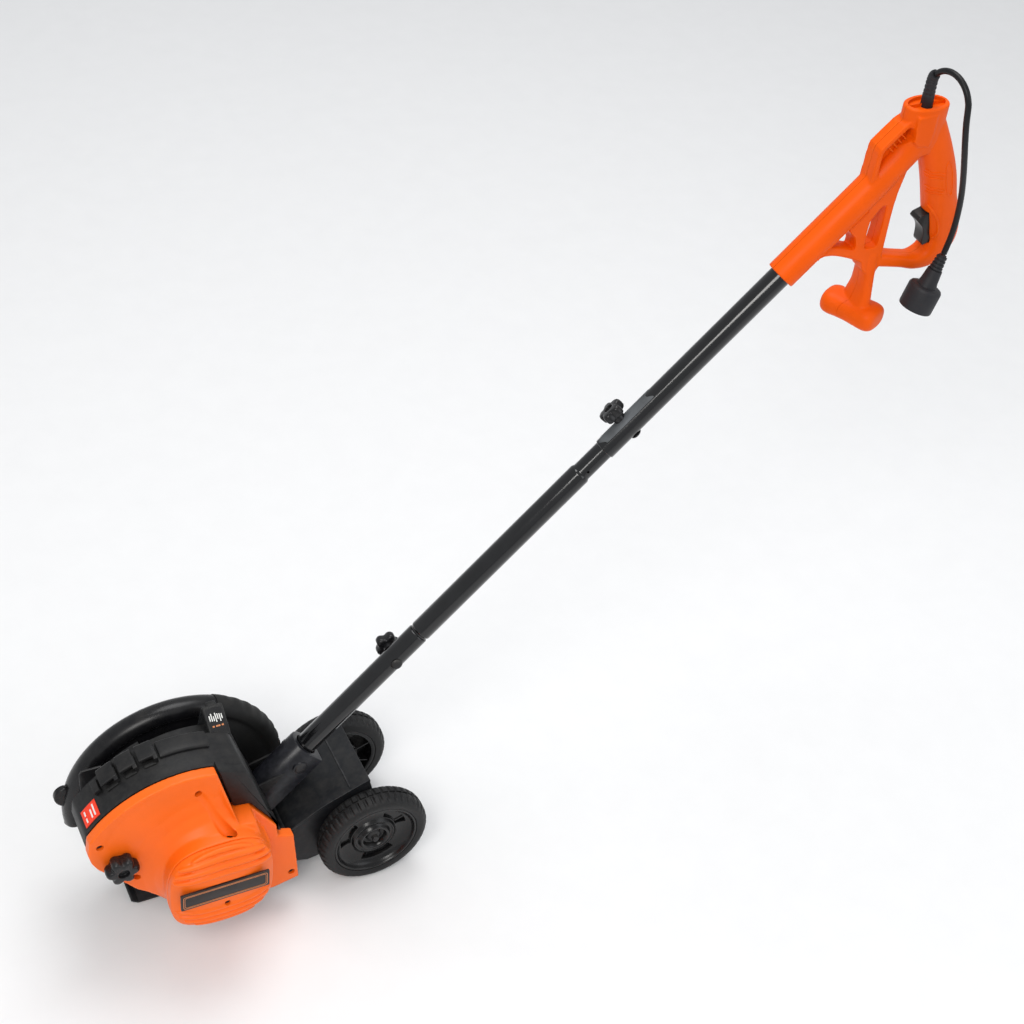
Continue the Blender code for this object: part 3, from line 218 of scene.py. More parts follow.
GUARD_BLACK = surface("black_guard", (0.005, 0.005, 0.006), 0.27, grain=0.14, shade=0.12, dust=0.05, wear=0.3,
    wear_rgb=(0.04, 0.04, 0.04))
DEFLECTOR_BLACK = surface("black_deflector", (0.006, 0.006, 0.006), 0.6, grain=0.4, shade=0.15, dust=0.06)
DECK_BLACK = surface("black_deck", (0.008, 0.009, 0.011), 0.44, grain=0.16, shade=0.12, dust=0.08, wear=0.3,
    wear_rgb=(0.06, 0.06, 0.06))
HUB_BLACK = surface("black_hub", (0.0055, 0.0055, 0.006), 0.22, grain=0.08, shade=0.1, dust=0.04)
RUBBER = surface("tyre_rubber", (0.0065, 0.0065, 0.007), 0.55, grain=0.35, grain_scale=900, shade=0.15, dust=0.08,
    dust_rgb=(0.12, 0.11, 0.1))
KNOB_BLACK = surface("black_knob", (0.008, 0.008, 0.009), 0.24, grain=0.1, shade=0.15, dust=0.06)
TUBE_PAINT = surface("tube_paint", (0.0025, 0.0025, 0.003), 0.1, grain=0.12, grain_scale=700, shade=0.3, dust=0.04,
    dust_rgb=(0.1, 0.11, 0.12), coat=0.5, stretch=ALONG_POLE)
SCUFF = surface("scuffed_paint", (0.075, 0.08, 0.085), 0.6, grain=0.6, grain_scale=500, shade=0.6, stretch=ALONG_POLE)
STEEL = surface("steel", (0.52, 0.52, 0.54), 0.3, 1, grain=0.12, shade=0.15, dust=0.15, dust_rgb=(0.2, 0.15, 0.1))
BLACK_STEEL = surface("black_steel", (0.02, 0.02, 0.022), 0.38, 0.4, grain=0.15, shade=0.3, dust=0.2)
LAMINATION = surface("lamination", (0.25, 0.25, 0.27), 0.4, 0.9, grain=0.8, grain_scale=400, shade=0.3)
COPPER = surface("copper", (0.72, 0.36, 0.16), 0.3, 1, grain=0.1, shade=0.2)
BRASS = surface("brass", (0.75, 0.58, 0.28), 0.28, 1, grain=0.1, shade=0.15)
CARBON = surface("carbon", (0.03, 0.03, 0.03), 0.6, grain=0.4, shade=0.2)
CORD_BLACK = surface("cord_sheath", (0.005, 0.005, 0.006), 0.36, grain=0.08, shade=0.12, dust=0.03, spec=0.25)
PLUG_BLACK = surface("plug_rubber", (0.014, 0.014, 0.017), 0.55, grain=0.25, shade=0.15, dust=0.06)
TRIGGER_BLACK = surface("trigger_plastic", (0.01, 0.009, 0.009), 0.28, grain=0.06, shade=0.2, dust=0.06)
BADGE_DARK = surface("badge_dark", (0.02, 0.015, 0.014), 0.38, grain=0.1, shade=0.2, dust=0.12)
BADGE_LINE = surface("badge_line", (0.55, 0.2, 0.08), 0.4, grain=0.1, shade=0.15)
LABEL_DARK = surface("label_dark", (0.008, 0.008, 0.009), 0.35, grain=0.05, shade=0.2)
LABEL_WHITE = surface("label_white", (0.75, 0.75, 0.72), 0.45, grain=0.05, shade=0.08)
STICKER_RED = surface("sticker_red", (0.85, 0.045, 0.012), 0.35, grain=0.05, shade=0.06)


# ---- mesh helpers
def make(name, bm, mat=None, angle=35):
    bmesh.ops.remove_doubles(bm, verts=bm.verts, dist=1e-6)
    bmesh.ops.recalc_face_normals(bm, faces=bm.faces)
    me = bpy.data.meshes.new(name)
    bm.to_mesh(me)
    bm.free()
    return shade_smooth(add(name, me, mat), angle)


def part(bm):
    return make("part", bm)


def shade_smooth(ob, angle=35):
    ob.data.shade_smooth()
    bm = bmesh.new()
    bm.from_mesh(ob.data)
    for edge in bm.edges:
        edge.smooth = len(edge.link_faces) != 2 or edge.calc_face_angle(0) < radians(angle)
    bm.to_mesh(ob.data)
    bm.free()
    return ob


def bake(ob):
    deps = bpy.context.evaluated_depsgraph_get()
    me = bpy.data.meshes.new_from_object(ob.evaluated_get(deps), depsgraph=deps)
    ob.modifiers.clear()
    ob.data = me
    return ob


def drop(ob):
    bpy.data.objects.remove(ob, do_unlink=True)


def modify(ob, kind, **settings):
    mod = ob.modifiers.new(kind, kind)
    for key, value in settings.items():
        setattr(mod, key, value)


def boolean(ob, tool, how="DIFFERENCE"):
    modify(ob, "BOOLEAN", operation=how, solver="EXACT", object=tool)
    bake(ob)
    drop(tool)
    return shade_smooth(ob)


def cut(ob, shape, how="DIFFERENCE"):
    return boolean(ob, part(shape), how)


def bevel(ob, width, segments=3, angle=35):
    modify(ob, "BEVEL", width=width, segments=segments, limit_method="ANGLE", angle_limit=radians(angle))
    bake(ob)
    return shade_smooth(ob, 50)


def join(name, obs, mat=None):
    bm = bmesh.new()
    for ob in obs:
        bm.from_mesh(ob.data)
        drop(ob)
    me = bpy.data.meshes.new(name)
    bm.to_mesh(me)
    bm.free()
    return add(name, me, mat)


def fused(name, obs, mat=None, angle=40):
    return shade_smooth(join(name, obs, mat), angle)


def mould(ob, voxel, turns, keep=0.5):
    """Fuses overlapping solids into one skin with soft fillets, as an injection mould leaves them."""
    modify(ob, "REMESH", mode="VOXEL", voxel_size=voxel)
    modify(ob, "SMOOTH", factor=0.5, iterations=turns)
    if keep < 1:
        modify(ob, "DECIMATE", ratio=keep)
    mats = list(ob.data.materials)
    bake(ob)
    if not ob.data.materials:
        for mat in mats:
            ob.data.materials.append(mat)
    return shade_smooth(ob, 50)


def rings(loops, cap=True):
    bm = bmesh.new()
    rows = [[bm.verts.new(p) for p in loop] for loop in loops]
    count = len(rows[0])
    pairs = list(zip(rows, rows[1:])) + ([] if cap else [(rows[-1], rows[0])])
    for a, b in pairs:
        for i in range(count):
            j = (i + 1) % count
            bm.faces.new((a[i], a[j], b[j], b[i]))
    if cap:
        bm.faces.new(rows[0])
        bm.faces.new(rows[-1])
    return bm


def prism(points, y0, y1):
    return rings([[(x, y, z) for x, z in points] for y in (y0, y1)])


def box(x0, x1, y0, y1, z0, z1):
    return prism([(x0, z0), (x1, z0), (x1, z1), (x0, z1)], y0, y1)


def signed_power(value, power):
    return copysign(abs(value) ** power, value)


def full_turn(n, offset=0):
    return [2 * pi * (k + offset) / n for k in range(n)]


def frame_of(axis):
    axis = Vector(axis).normalized()
    side = Y_AXIS if abs(axis.y) < 0.9 else Vector((1, 0, 0))
    side = (side - axis * side.dot(axis)).normalized()
    return axis, side, axis.cross(side)


def lathe(origin, axis, profile, n=64, closed=False):
    axis, u, v = frame_of(axis)
    origin = Vector(origin)
    loops = []
    for t, r in profile:
        c = origin + axis * t
        loops.append([c + (u * cos(a) + v * sin(a)) * r for a in full_turn(n)])
    return rings(loops, cap=not closed)


def rod(origin, axis, t0, t1, r, n=40):
    return lathe(origin, axis, [(t0, r), (t1, r)], n)


def arc_points(cx, cz, r, a0, a1, n):
    return [(cx + r * cos(radians(a0 + (a1 - a0) * k / n)),
        cz + r * sin(radians(a0 + (a1 - a0) * k / n))) for k in range(n + 1)]


def arc_solid(cx, cz, profile, a0, a1, n, wave=None):
    """A profile of (radius, y) turned about (cx, cz); a third number says how far the wave lifts the point."""
    loops = []
    for k in range(n + 1):
        a = radians(a0 + (a1 - a0) * k / n)
        lift = wave(k / n) if wave else 0
        loops.append([(cx + (r + lift * w[0] if w else r) * cos(a), y,
            cz + (r + lift * w[0] if w else r) * sin(a)) for r, y, *w in profile])
    return rings(loops)


def spline(points, steps=6, closed=False):
    """Smooth line through the points (Catmull-Rom), for tuples of any length."""
    out = []
    count = len(points)
    last = count if closed else count - 1
    for i in range(last):
        p = [points[(i + k) % count] if closed else points[min(max(i + k, 0), count - 1)] for k in (-1, 0, 1, 2)]
        for s in range(steps):
            t = s / steps
            out.append(tuple(0.5 * (2 * b + (c - a) * t + (2 * a - 5 * b + 4 * c - d) * t * t + (3 * b - a - 3 * c
                + d) * t ** 3) for a, b, c, d in zip(*p)))
    if not closed:
        out.append(tuple(points[-1]))
    return out


def slab(points, half):
    return prism(points, POLE_Y - half, POLE_Y + half)


def sweep(path, n=28, y=POLE_Y):
    """Superellipses along a path in the XZ plane: (x, z, half width in the plane, half width in y, power)."""
    loops = []
    for k, p in enumerate(path):
        a, b = path[max(k - 1, 0)], path[min(k + 1, len(path) - 1)]
        along = Vector((b[0] - a[0], 0, b[1] - a[1])).normalized()
        side = Vector((along.z, 0, -along.x))
        loop = []
        for t in full_turn(n, 0.5):
            c, s = signed_power(cos(t), p[4]), signed_power(sin(t), p[4])
            loop.append(Vector((p[0], y, p[1])) + side * (p[2] * c) + Y_AXIS * (p[3] * s))
        loops.append(loop)
    return rings(loops)


def bent_rod(points, n=24):
    """Round tube of changing radius along points in space: ((x, y, z), r)."""
    loops = []
    normal = None
    for k, (p, r) in enumerate(points):
        along = (Vector(points[min(k + 1, len(points) - 1)][0]) - Vector(points[max(k - 1, 0)][0])).normalized()
        if normal is None:
            normal = frame_of(along)[1]
        normal = (normal - along * normal.dot(along)).normalized()
        other = along.cross(normal)
        loops.append([Vector(p) + (normal * cos(t) + other * sin(t)) * r for t in full_turn(n)])
    return rings(loops)


def pole_point(s, n=0, y=0):
    return Vector((POLE_X0, POLE_Y + y, POLE_Z0)) + POLE_DIR * s + POLE_UP * n


def rounded_rect(x0, x1, z0, z1, r, n=6):
    pts = []
    for cx, cz, a0 in ((x1 - r, z1 - r, 0), (x0 + r, z1 - r, 90), (x0 + r, z0 + r, 180), (x1 - r, z0 + r, 270)):
        pts += arc_points(cx, cz, r, a0, a0 + 90, n)
    return pts


def surface_tree(ob):
    return BVHTree.FromPolygons([v.co for v in ob.data.vertices], [tuple(p.vertices) for p in ob.data.polygons])


def ridge(tree, points, r, side=-1, lift=0):
    """A fine bead lying on a surface, over points in the XZ plane seen from one side."""
    line = []
    for x, z in points:
        hit = tree.ray_cast(Vector((x, side * 0.5, z)), Vector((0, -side, 0)))
        if hit[0] is not None:
            line.append((hit[0] + hit[1] * lift, r))
    return bent_rod(line, 8)


def put(ob, *nodes, body="frame", slot="black_plastic"):
    ob.data.transform(Matrix.Translation(SHIFT))
    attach(ob, body)
    if nodes:
        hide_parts(*nodes)
    return ob


# ---- wheels
def tyre(name, y_in, side):
    """Solid tyre with two staggered rows of tread blocks, a centre groove and a notched shoulder."""
    w = WHEEL_W
    blocks = 44
    steps = 6
    n = blocks * steps
    # distance from the face, radius, how deep the grooves cut, which row
    shoulder = [(0, 0.056, 0), (0.0006, 0.0585, 0), (0.0018, 0.0603, 0.3), (0.0036, 0.0619, 0.8), (0.0058, 0.0632, 1),
        (0.0085, 0.0638, 1)]
    profile = [(0, 0.0495 + GAP, 0, 0)] + [(*row, 0) for row in shoulder]
    profile += [(0.0126, WHEEL_R, 1, 0), (0.0128, 0.0622, 0, 0), (0.014, 0.062, 0, 0), (0.0152, 0.0622, 0, 0),
        (0.0154, WHEEL_R, 1, 1)]
    profile += [(w - t, r, deep, 1) for t, r, deep in reversed(shoulder)]
    profile += [(w, 0.053, 0, 1), (w - 0.0006, 0.0515, 0, 1), (w - 0.0008, 0.0495 + GAP, 0, 1)]
    loops = []
    for t, r, deep, row in profile:
        loop = []
        for k in range(n):
            cell = (k + (steps // 2 if row else 0)) % steps
            groove = 0.0016 * deep if cell in (0, 5) else 0
            a = 2 * pi * k / n
            loop.append(((r - groove) * cos(a), y_in + side * t, WHEEL_R + (r - groove) * sin(a)))
        loops.append(loop)
    return make(name, rings(loops, cap=False), RUBBER, 28)


def hub(name, y_in, side):
    """Dished hub: three windows, raised rings, centre cup; ribs and a ring in the inner recess."""
    w = WHEEL_W
    origin = (0, y_in, WHEEL_R)
    axis = (0, side, 0)
    # inner half from the inner face, then outer half from the outer face
    profile = [(0.0015, AXLE_R + GAP)]
    profile += mm(2, 1.5, 10, 2, 10.5, 14, 11, 15, 13, 15, 40, 14, 42.5, 1, 44.5, 0.4, 45.5, 0.4, 49, 1, 49.5)
    outer = mm(2, 1.6, 49.5, 1, 48.8, 1, 47, 2.4, 46.2, 4.6, 45.6, 6.6, 44, 9, 40.5, 10.4, 36, 10.8, 30, 9.8, 26.2, 7,
        24.6, 6.2, 23.8, 6.2, 22.8, 7.2, 22, 7.6, 19.6, 5, 18, 3.4, 17, 3.4, 15.2, 4.4, 14, 10, 12.8, 10.6, 11.8)
    profile += [(w - t, r) for t, r in outer + [(0.0106, AXLE_R + GAP)]]
    ob = make(name, lathe(origin, axis, profile, 96, closed=True), HUB_BLACK)
    for k in range(3):
        mid = 40 + 120 * k
        outline = arc_points(0, WHEEL_R, 0.0395, mid - 30, mid + 30, 16)
        outline += arc_points(0, WHEEL_R, 0.0272, mid + 26, mid - 26, 12)
        cut(ob, prism(outline, y_in - 0.02, y_in + 0.05) if side > 0 else prism(outline, y_in - 0.05, y_in + 0.02))
    bevel(ob, 0.0005, 2, 40)
    ribs = [ob]
    for k in range(9):
        if k % 3 == 2:
            continue
        a = radians(100 + 40 * k)
        rib = []
        for r, off in mm(2, 10.8, -0.8, 44, -0.8, 44, 0.8, 10.8, 0.8):
            rib.append((r * cos(a) - off * sin(a), WHEEL_R + r * sin(a) + off * cos(a)))
        y0, y1 = sorted((y_in + side * 0.003, y_in + side * 0.0156))
        ribs.append(part(prism(rib, y0, y1)))
    ribs.append(part(lathe(origin, axis, mm(2, 12.8, 25.5, 12.8, 41.2, 14.6, 41.2, 14.6, 25.5), 72, closed=True)))
    ribs.append(part(lathe(origin, axis, mm(2, 4, 26.2, 4, 27.8, 15.6, 28.2, 15.6, 25.8), 72, closed=True)))
    return fused(name, ribs, HUB_BLACK)


def make_wheels():
    for label, y_in, side in (("near", WHEEL_W, -1), ("far", WHEEL_FAR_Y, 1)):
        put(tyre("tyre_tread_" + label, y_in, side), "tyre_" + label, body="wheel_" + label, slot="tyre")
        put(hub("dished_hub_" + label, y_in, side), "wheel_hub_" + label, body="wheel_" + label)
        y_out = y_in + side * WHEEL_W
        cap = lathe((0, y_out - side * 0.01, WHEEL_R), (0, side, 0),
            [(0, AXLE_R + 0.0001), (0, 0.0085), (0.0012, 0.0088), (0.0026, 0.008), (0.0036, 0.0062), (0.0044, 0.0052),
            (0.0044, AXLE_R + 0.0001)], 36, closed=True)
        put(make("retainer_" + label, cap, BLACK_STEEL), "push_nut_" + label, body="carriage", slot="steel")
    axle = lathe((0, 0, WHEEL_R), Y_AXIS, [(0.001, 0.0026), (0.0018, 0.0036), (0.0026, AXLE_R), (0.1484, AXLE_R),
        (0.1492, 0.0036), (0.15, 0.0026)], 32)
    put(make("axle_rod", axle, BLACK_STEEL), "axle", body="carriage", slot="steel")


# ---- black gear housing
def body_outline(n=40):
    return arc_points(BODY_CX, BODY_CZ, BODY_R, 60, 146, n) + mm(2, -322, 186, -319, 172, -313, 161, -307, 153, -277,
        119, -257, 107, -215, 70, -165, 46, -126, 43, -109, 60, -112, 128, -127, 168, -140, 210)


def sleeve_loops(places):
    section = mm(2, -19, -17, -17.2, -19, 17.2, -19, 19, -17, 19, 1)
    section += [(0.019 * cos(pi * k / 24), 0.001 + 0.019 * sin(pi * k / 24)) for k in range(1, 24)]
    section.append((-0.019, 0.001))
    return [[pole_point(s, n * k, y * k) for y, n in section] for s, k in places]


def make_housing():
    front = bevel(part(prism(body_outline(), PLATE_BACK_Y + GAP, BODY_SPLIT_Y)), 0.003, 4, 30)
    cover = bevel(part(prism(body_outline(), BODY_SPLIT_Y + 0.0006, BODY_FAR_Y)), 0.003, 4, 30)
    channel = mm(2, 113, 60, 200, 60, 200, 120, 113, 120)
    shelf = mm(2, 120, 62.5, 200, 62.5, 200, 120, 120, 120)
    for half in (front, cover):
        cut(half, arc_solid(SPINDLE_X, SPINDLE_Z, channel, 20, 112, 30))
        cut(half, arc_solid(SPINDLE_X, SPINDLE_Z, shelf, 111, 182, 30))
    cut(front, rod(MOTOR, Y_AXIS, 0, 0.05, 0.05, 64))
    mouth = part(rings(sleeve_loops([(-0.092, 1), (-0.0012, 1), (-0.0002, 0.965), (0, 0.93)])))
    cut(mouth, rod(pole_point(0), POLE_DIR, -0.06, 0.01, TUBE_R + 0.0012, 48))
    for y in (-0.0193, 0.0193):
        side = copysign(1, y)
        boss = lathe(pole_point(-0.019, 0, y), Y_AXIS * side, mm(2, -2, 8.8, 0.4, 8.4, 0.6, 7.8), 36)
        mouth = join("sleeve", [mouth, part(boss)])
    put(fused("pole_socket", [mouth], SATIN_BLACK, 35))
    pieces = [front]
    # ribs between socket and housing, and the web under it
    for y in (POLE_Y - 0.0175, POLE_Y + 0.0145):
        web = mm(2, -124, 150, -113, 108, -72, 139, -50, 161.8, -64, 166.8)
        pieces.append(bevel(part(prism(web, y, y + 0.003)), 0.0008, 2))

    def on_rail(name, profile, a0, a1, n, width):
        pieces.append(bevel(make(name, arc_solid(BODY_CX, BODY_CZ, profile, a0, a1, n)), width, 2, 30))

    # depth rail: long flap, then three steps with a slot under the near edge of each
    rail = mm(2, 120, 38.5, 130, 38.5, 131.6, 40, 132.2, 44, 132.2, 58, 131.2, 59.6, 120, 59.6)
    on_rail("flap", rail, 74, 97.5, 16, 0.0006)
    for a0, a1, rise in ((99, 106.8, 0.1362), (108.6, 116.4, 0.1362), (118.2, 126.4, 0.1356)):
        step = [(0.1315, 0.04), (rise - 0.001, 0.04), (rise, 0.0412), (rise, 0.06), (rise - 0.0018, 0.0622),
            (0.12, 0.0622), (0.12, 0.049), (0.1315, 0.049)]
        on_rail("step", step, a0, a1, 6, 0.0007)
        post = [(0.12, 0.036), (rise - 0.0016, 0.036), (rise - 0.0006, 0.042), (rise - 0.0006, 0.052), (0.12, 0.052)]
        on_rail("post", post, a0 - 0.3, a0 + 1.6, 3, 0.0005)
        foot = mm(2, 120, 34, 129.2, 34, 129.2, 38.5, 120, 38.5)
        on_rail("foot", foot, a0 + 1, a1 - 1, 5, 0.0005)
    stop = mm(2, 120, 40, 133, 40, 133, 56, 120, 56)
    on_rail("stop", stop, 128, 131.5, 4, 0.0006)
    # shallow step running round the top, where the motor housing's flange sits
    lip = [(BODY_R - 0.004, PLATE_BACK_Y + GAP), (BODY_R + 0.0006, PLATE_BACK_Y + GAP), (BODY_R + 0.0006, 0.016),
        (BODY_R - 0.004, 0.0166)]
    pieces.append(part(arc_solid(BODY_CX, BODY_CZ, lip, 76, 144, 40)))
    # upper step of the rear wall beside the motor housing
    rear = mm(2, -182, 256, -166, 192, -148, 189, -118, 144, -116.5, 130, -112, 128, -127, 168, -140, 210, -151.2,
        241.5, -166, 248)
    pieces.append(bevel(part(prism(rear, 0.004, PLATE_BACK_Y + 0.006)), 0.0015, 3, 30))
    put(fused("gear_housing_front", pieces, MATTE_BLACK), "gear_housing")

    cut(cover, rings(sleeve_loops([(-0.12, 1.05), (0.02, 1.05)])))
    cut(cover, rod(SPINDLE, Y_AXIS, 0.07, 0.12, 0.01, 40))
    pieces = [cover]
    boss = mm(2, 96, 10, 96, 21, 103.2, 21, 104, 20.2, 104, 11, 103.2, 10)
    pieces.append(part(lathe(SPINDLE, Y_AXIS, boss, 64, closed=True)))
    for k in range(6):
        a = radians(155 + 18 * k)
        c = (SPINDLE_X + 0.078 * cos(a), 0, SPINDLE_Z + 0.078 * sin(a))
        if abs(c[0] - SPINDLE_X) < 0.075 and c[2] > 0.06:
            pieces.append(part(lathe(c, Y_AXIS, [(0.0965, 0.0046), (0.0984, 0.0042)], 24)))
    put(fused("gear_housing_cover", pieces, MATTE_BLACK), "gear_cover")

    # plain sticker on the nose
    def patch(y0, y1, a0, a1, rise, steps):
        edge = [(BODY_R - 0.001, y0), (BODY_R + rise, y0), (BODY_R + rise, y1), (BODY_R - 0.001, y1)]
        return arc_solid(BODY_CX, BODY_CZ, edge, a0, a1, steps)

    put(make("nose_sticker", patch(0.0185, 0.04, 133.4, 143.4, 0.0006, 12), STICKER_RED))
    bars = [part(patch(y0, y1, a, a + 0.8, 0.0009, 3)) for a, y0,
        y1 in ((135.2, 0.022, 0.0365), (137.2, 0.022, 0.033), (140.8, 0.022, 0.0275), (140.8, 0.0305, 0.0365))]
    put(join("sticker_bars", bars, LABEL_WHITE))


# ---- orange motor housing and end cap
def face_outline(n=36):
    return arc_points(BODY_CX, BODY_CZ, BODY_R, 76, 146, n) + mm(2, -322.5, 184, -319.5, 170, -314, 159, -307, 151,
        -292, 134, -276, 116, -257, 105, -215, 66, -165, 40, -122, 37, -92, 44, -99, 118, -117, 125, -119, 143, -149,
        188, -168, 191)


def cap_loop(y, square, scale=1, n=96):
    """Outline of the motor bulge: round at the housing, squarer toward the end cap."""
    power = 1 - 0.34 * square
    half_x, half_z = (BULGE_R - 0.0025 * square) * scale, (BULGE_R - 0.0015 * square) * scale
    x0 = SPINDLE_X - 0.0025 * square
    loop = []
    for a in full_turn(n):
        c, s = cos(a), sin(a)
        loop.append((x0 + half_x * signed_power(c, power), y, MOTOR_Z + half_z * signed_power(s, power)))
    return loop


def make_motor_housing():
    plate = part(prism(face_outline(), FACE_Y, PLATE_BACK_Y))
    barrel = part(rings([cap_loop(BULGE_Y, 1), cap_loop(-0.028, 0.6), cap_loop(-0.015, 0.2), cap_loop(0.008, 0)]))
    # wide blend from the barrel up to the arched edge, kept inside the outline
    flare = part(lathe(MOTOR, Y_AXIS, mm(2, -30, 56, -23, 60, -15, 66, -8.5, 76, -4, 90, -1.5, 106, 1, 130, 6, 130),
        96))
    cut(flare, prism(face_outline(), -0.08, PLATE_BACK_Y - 0.001), "INTERSECT")
    low_side = mm(2, -164, 262, -165, 190, -150, 166, -134, 150, -133, 20, -60, 20, -60, 262)
    cut(flare, prism(low_side, -0.09, FACE_Y))
    # raised strip from the arched edge down the barrel's flank, and the rounded groove on its left
    strip = []
    for k in range(13):
        t = k / 12
        z = 0.25 - 0.084 * t
        x0, x1 = -0.19 + 0.026 * t, -0.164 + 0.02 * t
        y = FACE_Y - 0.0005 - 0.033 * t ** 1.25
        strip.append([(x0, PLATE_BACK_Y - 0.001, z), (x0, y + 0.003, z), (x0 + 0.003, y, z), (x1 - 0.003, y, z),
            (x1, y + 0.004, z), (x1, PLATE_BACK_Y - 0.001, z)])
    raised = part(rings(strip))
    cut(raised, prism(face_outline(), -0.08, PLATE_BACK_Y - 0.001), "INTERSECT")
    body = join("motor_shell", [plate, barrel, flare, raised], ORANGE)
    groove = mm(3, -205.5, -8, 238, -198.5, -10, 224, -190, -18, 205, -180, -30, 188, -170, -42, 176)
    mould(body, 0.001, 3, 1)
    cut(body, bent_rod([((x, y, z), 0.0068) for x, y, z in spline(groove, 6)], 24))
    mould(body, 0.001, 3, 0.45)
    for x, z in SCREWS:
        cut(body, rod((x, 0, z), Y_AXIS, -0.03, FACE_Y + 0.0042, 0.004, 28))
    cut(body, rod((-0.2915, 0, 0.164), Y_AXIS, -0.03, 0.04, 0.0034, 24))
    cut(body, rod(MOTOR, Y_AXIS, -0.05, 0.03, 0.0495, 64))
    put(shade_smooth(body, 40), "motor_housing", slot="orange_plastic")
    for k, (x, z) in enumerate(SCREWS):
        head = part(lathe((x, FACE_Y + 0.004, z), -Y_AXIS, mm(2, -13, 1.9, -0.4, 1.9, 0, 3.6, 0.6, 3.6, 1.4, 3, 1.8,
            1.8), 28))
        for turn in (0, 90):
            slot = box(-0.0021, 0.0021, -0.006, FACE_Y + 0.0034, -0.0004, 0.0004)
            tool = part(slot)
            tool.data.transform(Matrix.Translation((x, 0, z)) @ Matrix.Rotation(radians(turn + 20), 4, "Y"))
            boolean(head, tool)
        head.name = "case_screw_%d" % (k + 1)
        head.data.materials.append(BLACK_STEEL)
        put(head, "housing_screw_%d" % (k + 1), slot="steel")


def cap_face_y(x, z):
    """Height of the end cap's domed face at a point."""
    r = (abs((x - SPINDLE_X + 0.0025) / 0.0565) ** 3.2 + abs((z - MOTOR_Z) / 0.0575) ** 3.2) ** (1 / 3.2)
    return CAP_Y - 0.0035 + 0.0105 * min(1, r) ** 4


def make_end_cap():
    loops = [cap_loop(BULGE_Y - 0.0006, 1, 0.997), cap_loop(BULGE_Y - 0.006, 1, 0.995)]
    for k in range(14):
        t = cos(0.5 * pi * k / 14)
        rim = 1 if k == 0 else t
        loops.append(cap_loop(CAP_Y - 0.0035 + 0.0125 * rim ** 3.2, 1, max(0.01, 0.99 * t)))
    pieces = [part(rings(loops))]
    for z, reach, r in ((0.189, 0.6, 0.0032), (0.1812, 0.86, 0.0042), (0.1726, 0.94, 0.0044), (0.164, 0.97, 0.0042),
            (0.118, 0.95, 0.003), (0.11, 0.9, 0.0034), (0.1015, 0.8, 0.0034), (0.093, 0.62, 0.003)):
        half = reach * 0.0545
        x0 = SPINDLE_X - 0.0025
        line = []
        for k in range(29):
            x = x0 - half + 2 * half * k / 28
            bow = 0.006 * (1 - ((x - x0) / half) ** 2) * (1 if z > MOTOR_Z else -0.35)
            swell = r * (0.3 + 0.7 * sin(pi * k / 28) ** 0.4)
            line.append(((x, cap_face_y(x, z + bow) + 0.0012, z + bow), swell))
        pieces.append(part(bent_rod(line, 16)))
    cap = mould(join("end_cap", pieces, ORANGE), 0.0009, 3, 0.45)
    cut(cap, lathe(MOTOR, Y_AXIS, [(-0.049, 0.046), (-0.03, 0.049)], 64))
    cut(cap, prism(rounded_rect(BADGE_X0 - 0.001, BADGE_X1 + 0.001, 0.13, 0.156, 0.0015), -0.1, CAP_Y - 0.0022))
    cut(cap, rod((SPINDLE_X - 0.001, 0, 0.1205), Y_AXIS, -0.1, CAP_Y - 0.0004, 0.0034, 28))
    put(shade_smooth(cap, 40), "motor_end_cap", slot="orange_plastic")
    plate = bevel(make("badge", prism(rounded_rect(BADGE_X0, BADGE_X1, 0.131, 0.155, 0.0012), CAP_Y - 0.0048,
        CAP_Y - 0.0023)), 0.0003, 2)
    plate.data.materials.append(BADGE_DARK)
    put(plate, "badge_plate")
    borders = []
    for inset, width in ((0.0022, 0.0007), (0.0038, 0.0005)):
        outer = rounded_rect(BADGE_X0 + inset, BADGE_X1 - inset, 0.131 + inset, 0.155 - inset, 0.003)
        inner = rounded_rect(BADGE_X0 + inset + width, BADGE_X1 - inset - width, 0.131 + inset + width,
            0.155 - inset - width, 0.003 - width)
        loops = [[(x, y, z) for x, z in line] for line, y in ((outer, CAP_Y - 0.0044), (outer, CAP_Y - 0.0051),
            (inner, CAP_Y - 0.0051), (inner, CAP_Y - 0.0044))]
        borders.append(part(rings(loops, cap=False)))
    put(join("badge_border", borders, BADGE_LINE), slot="orange_plastic")
    head = lathe((SPINDLE_X - 0.001, CAP_Y - 0.0005, 0.1205), -Y_AXIS, mm(2, -6, 1.8, 0, 3, 1.2, 2.6), 24)
    put(make("cap_screw", head, BLACK_STEEL), slot="steel")


# ---- blade guard and deflector
def channel_profile(far_in=0.088, near_in=0.024, wall=0.003):
    half, mid = (GUARD_FAR_Y - GUARD_NEAR_Y) / 2, (GUARD_FAR_Y + GUARD_NEAR_Y) / 2
    crown, n = 0.0128, 20
    inner = GUARD_R - crown
    out = [(near_in, GUARD_NEAR_Y, 0), (inner - 0.01, GUARD_NEAR_Y, 0), (inner - 0.008, GUARD_NEAR_Y + 0.0012, 0),
        (inner - 0.003, GUARD_NEAR_Y + 0.0012, 0), (inner - 0.0015, GUARD_NEAR_Y, 0)]
    for k in range(n + 1):
        a = pi * k / n
        out.append((inner + crown * sin(a) ** 0.85, mid - half * cos(a), sin(a)))
    out += [(far_in + 0.001, GUARD_FAR_Y, 0), (far_in, GUARD_FAR_Y - wall / 2, 0),
        (far_in + 0.001, GUARD_FAR_Y - wall, 0)]
    for k in range(n, -1, -1):
        a = pi * k / n
        out.append((inner + (crown - wall) * sin(a) ** 0.85, mid - (half - wall) * cos(a), 0))
    out.append((near_in, GUARD_NEAR_Y + wall, 0))
    return out


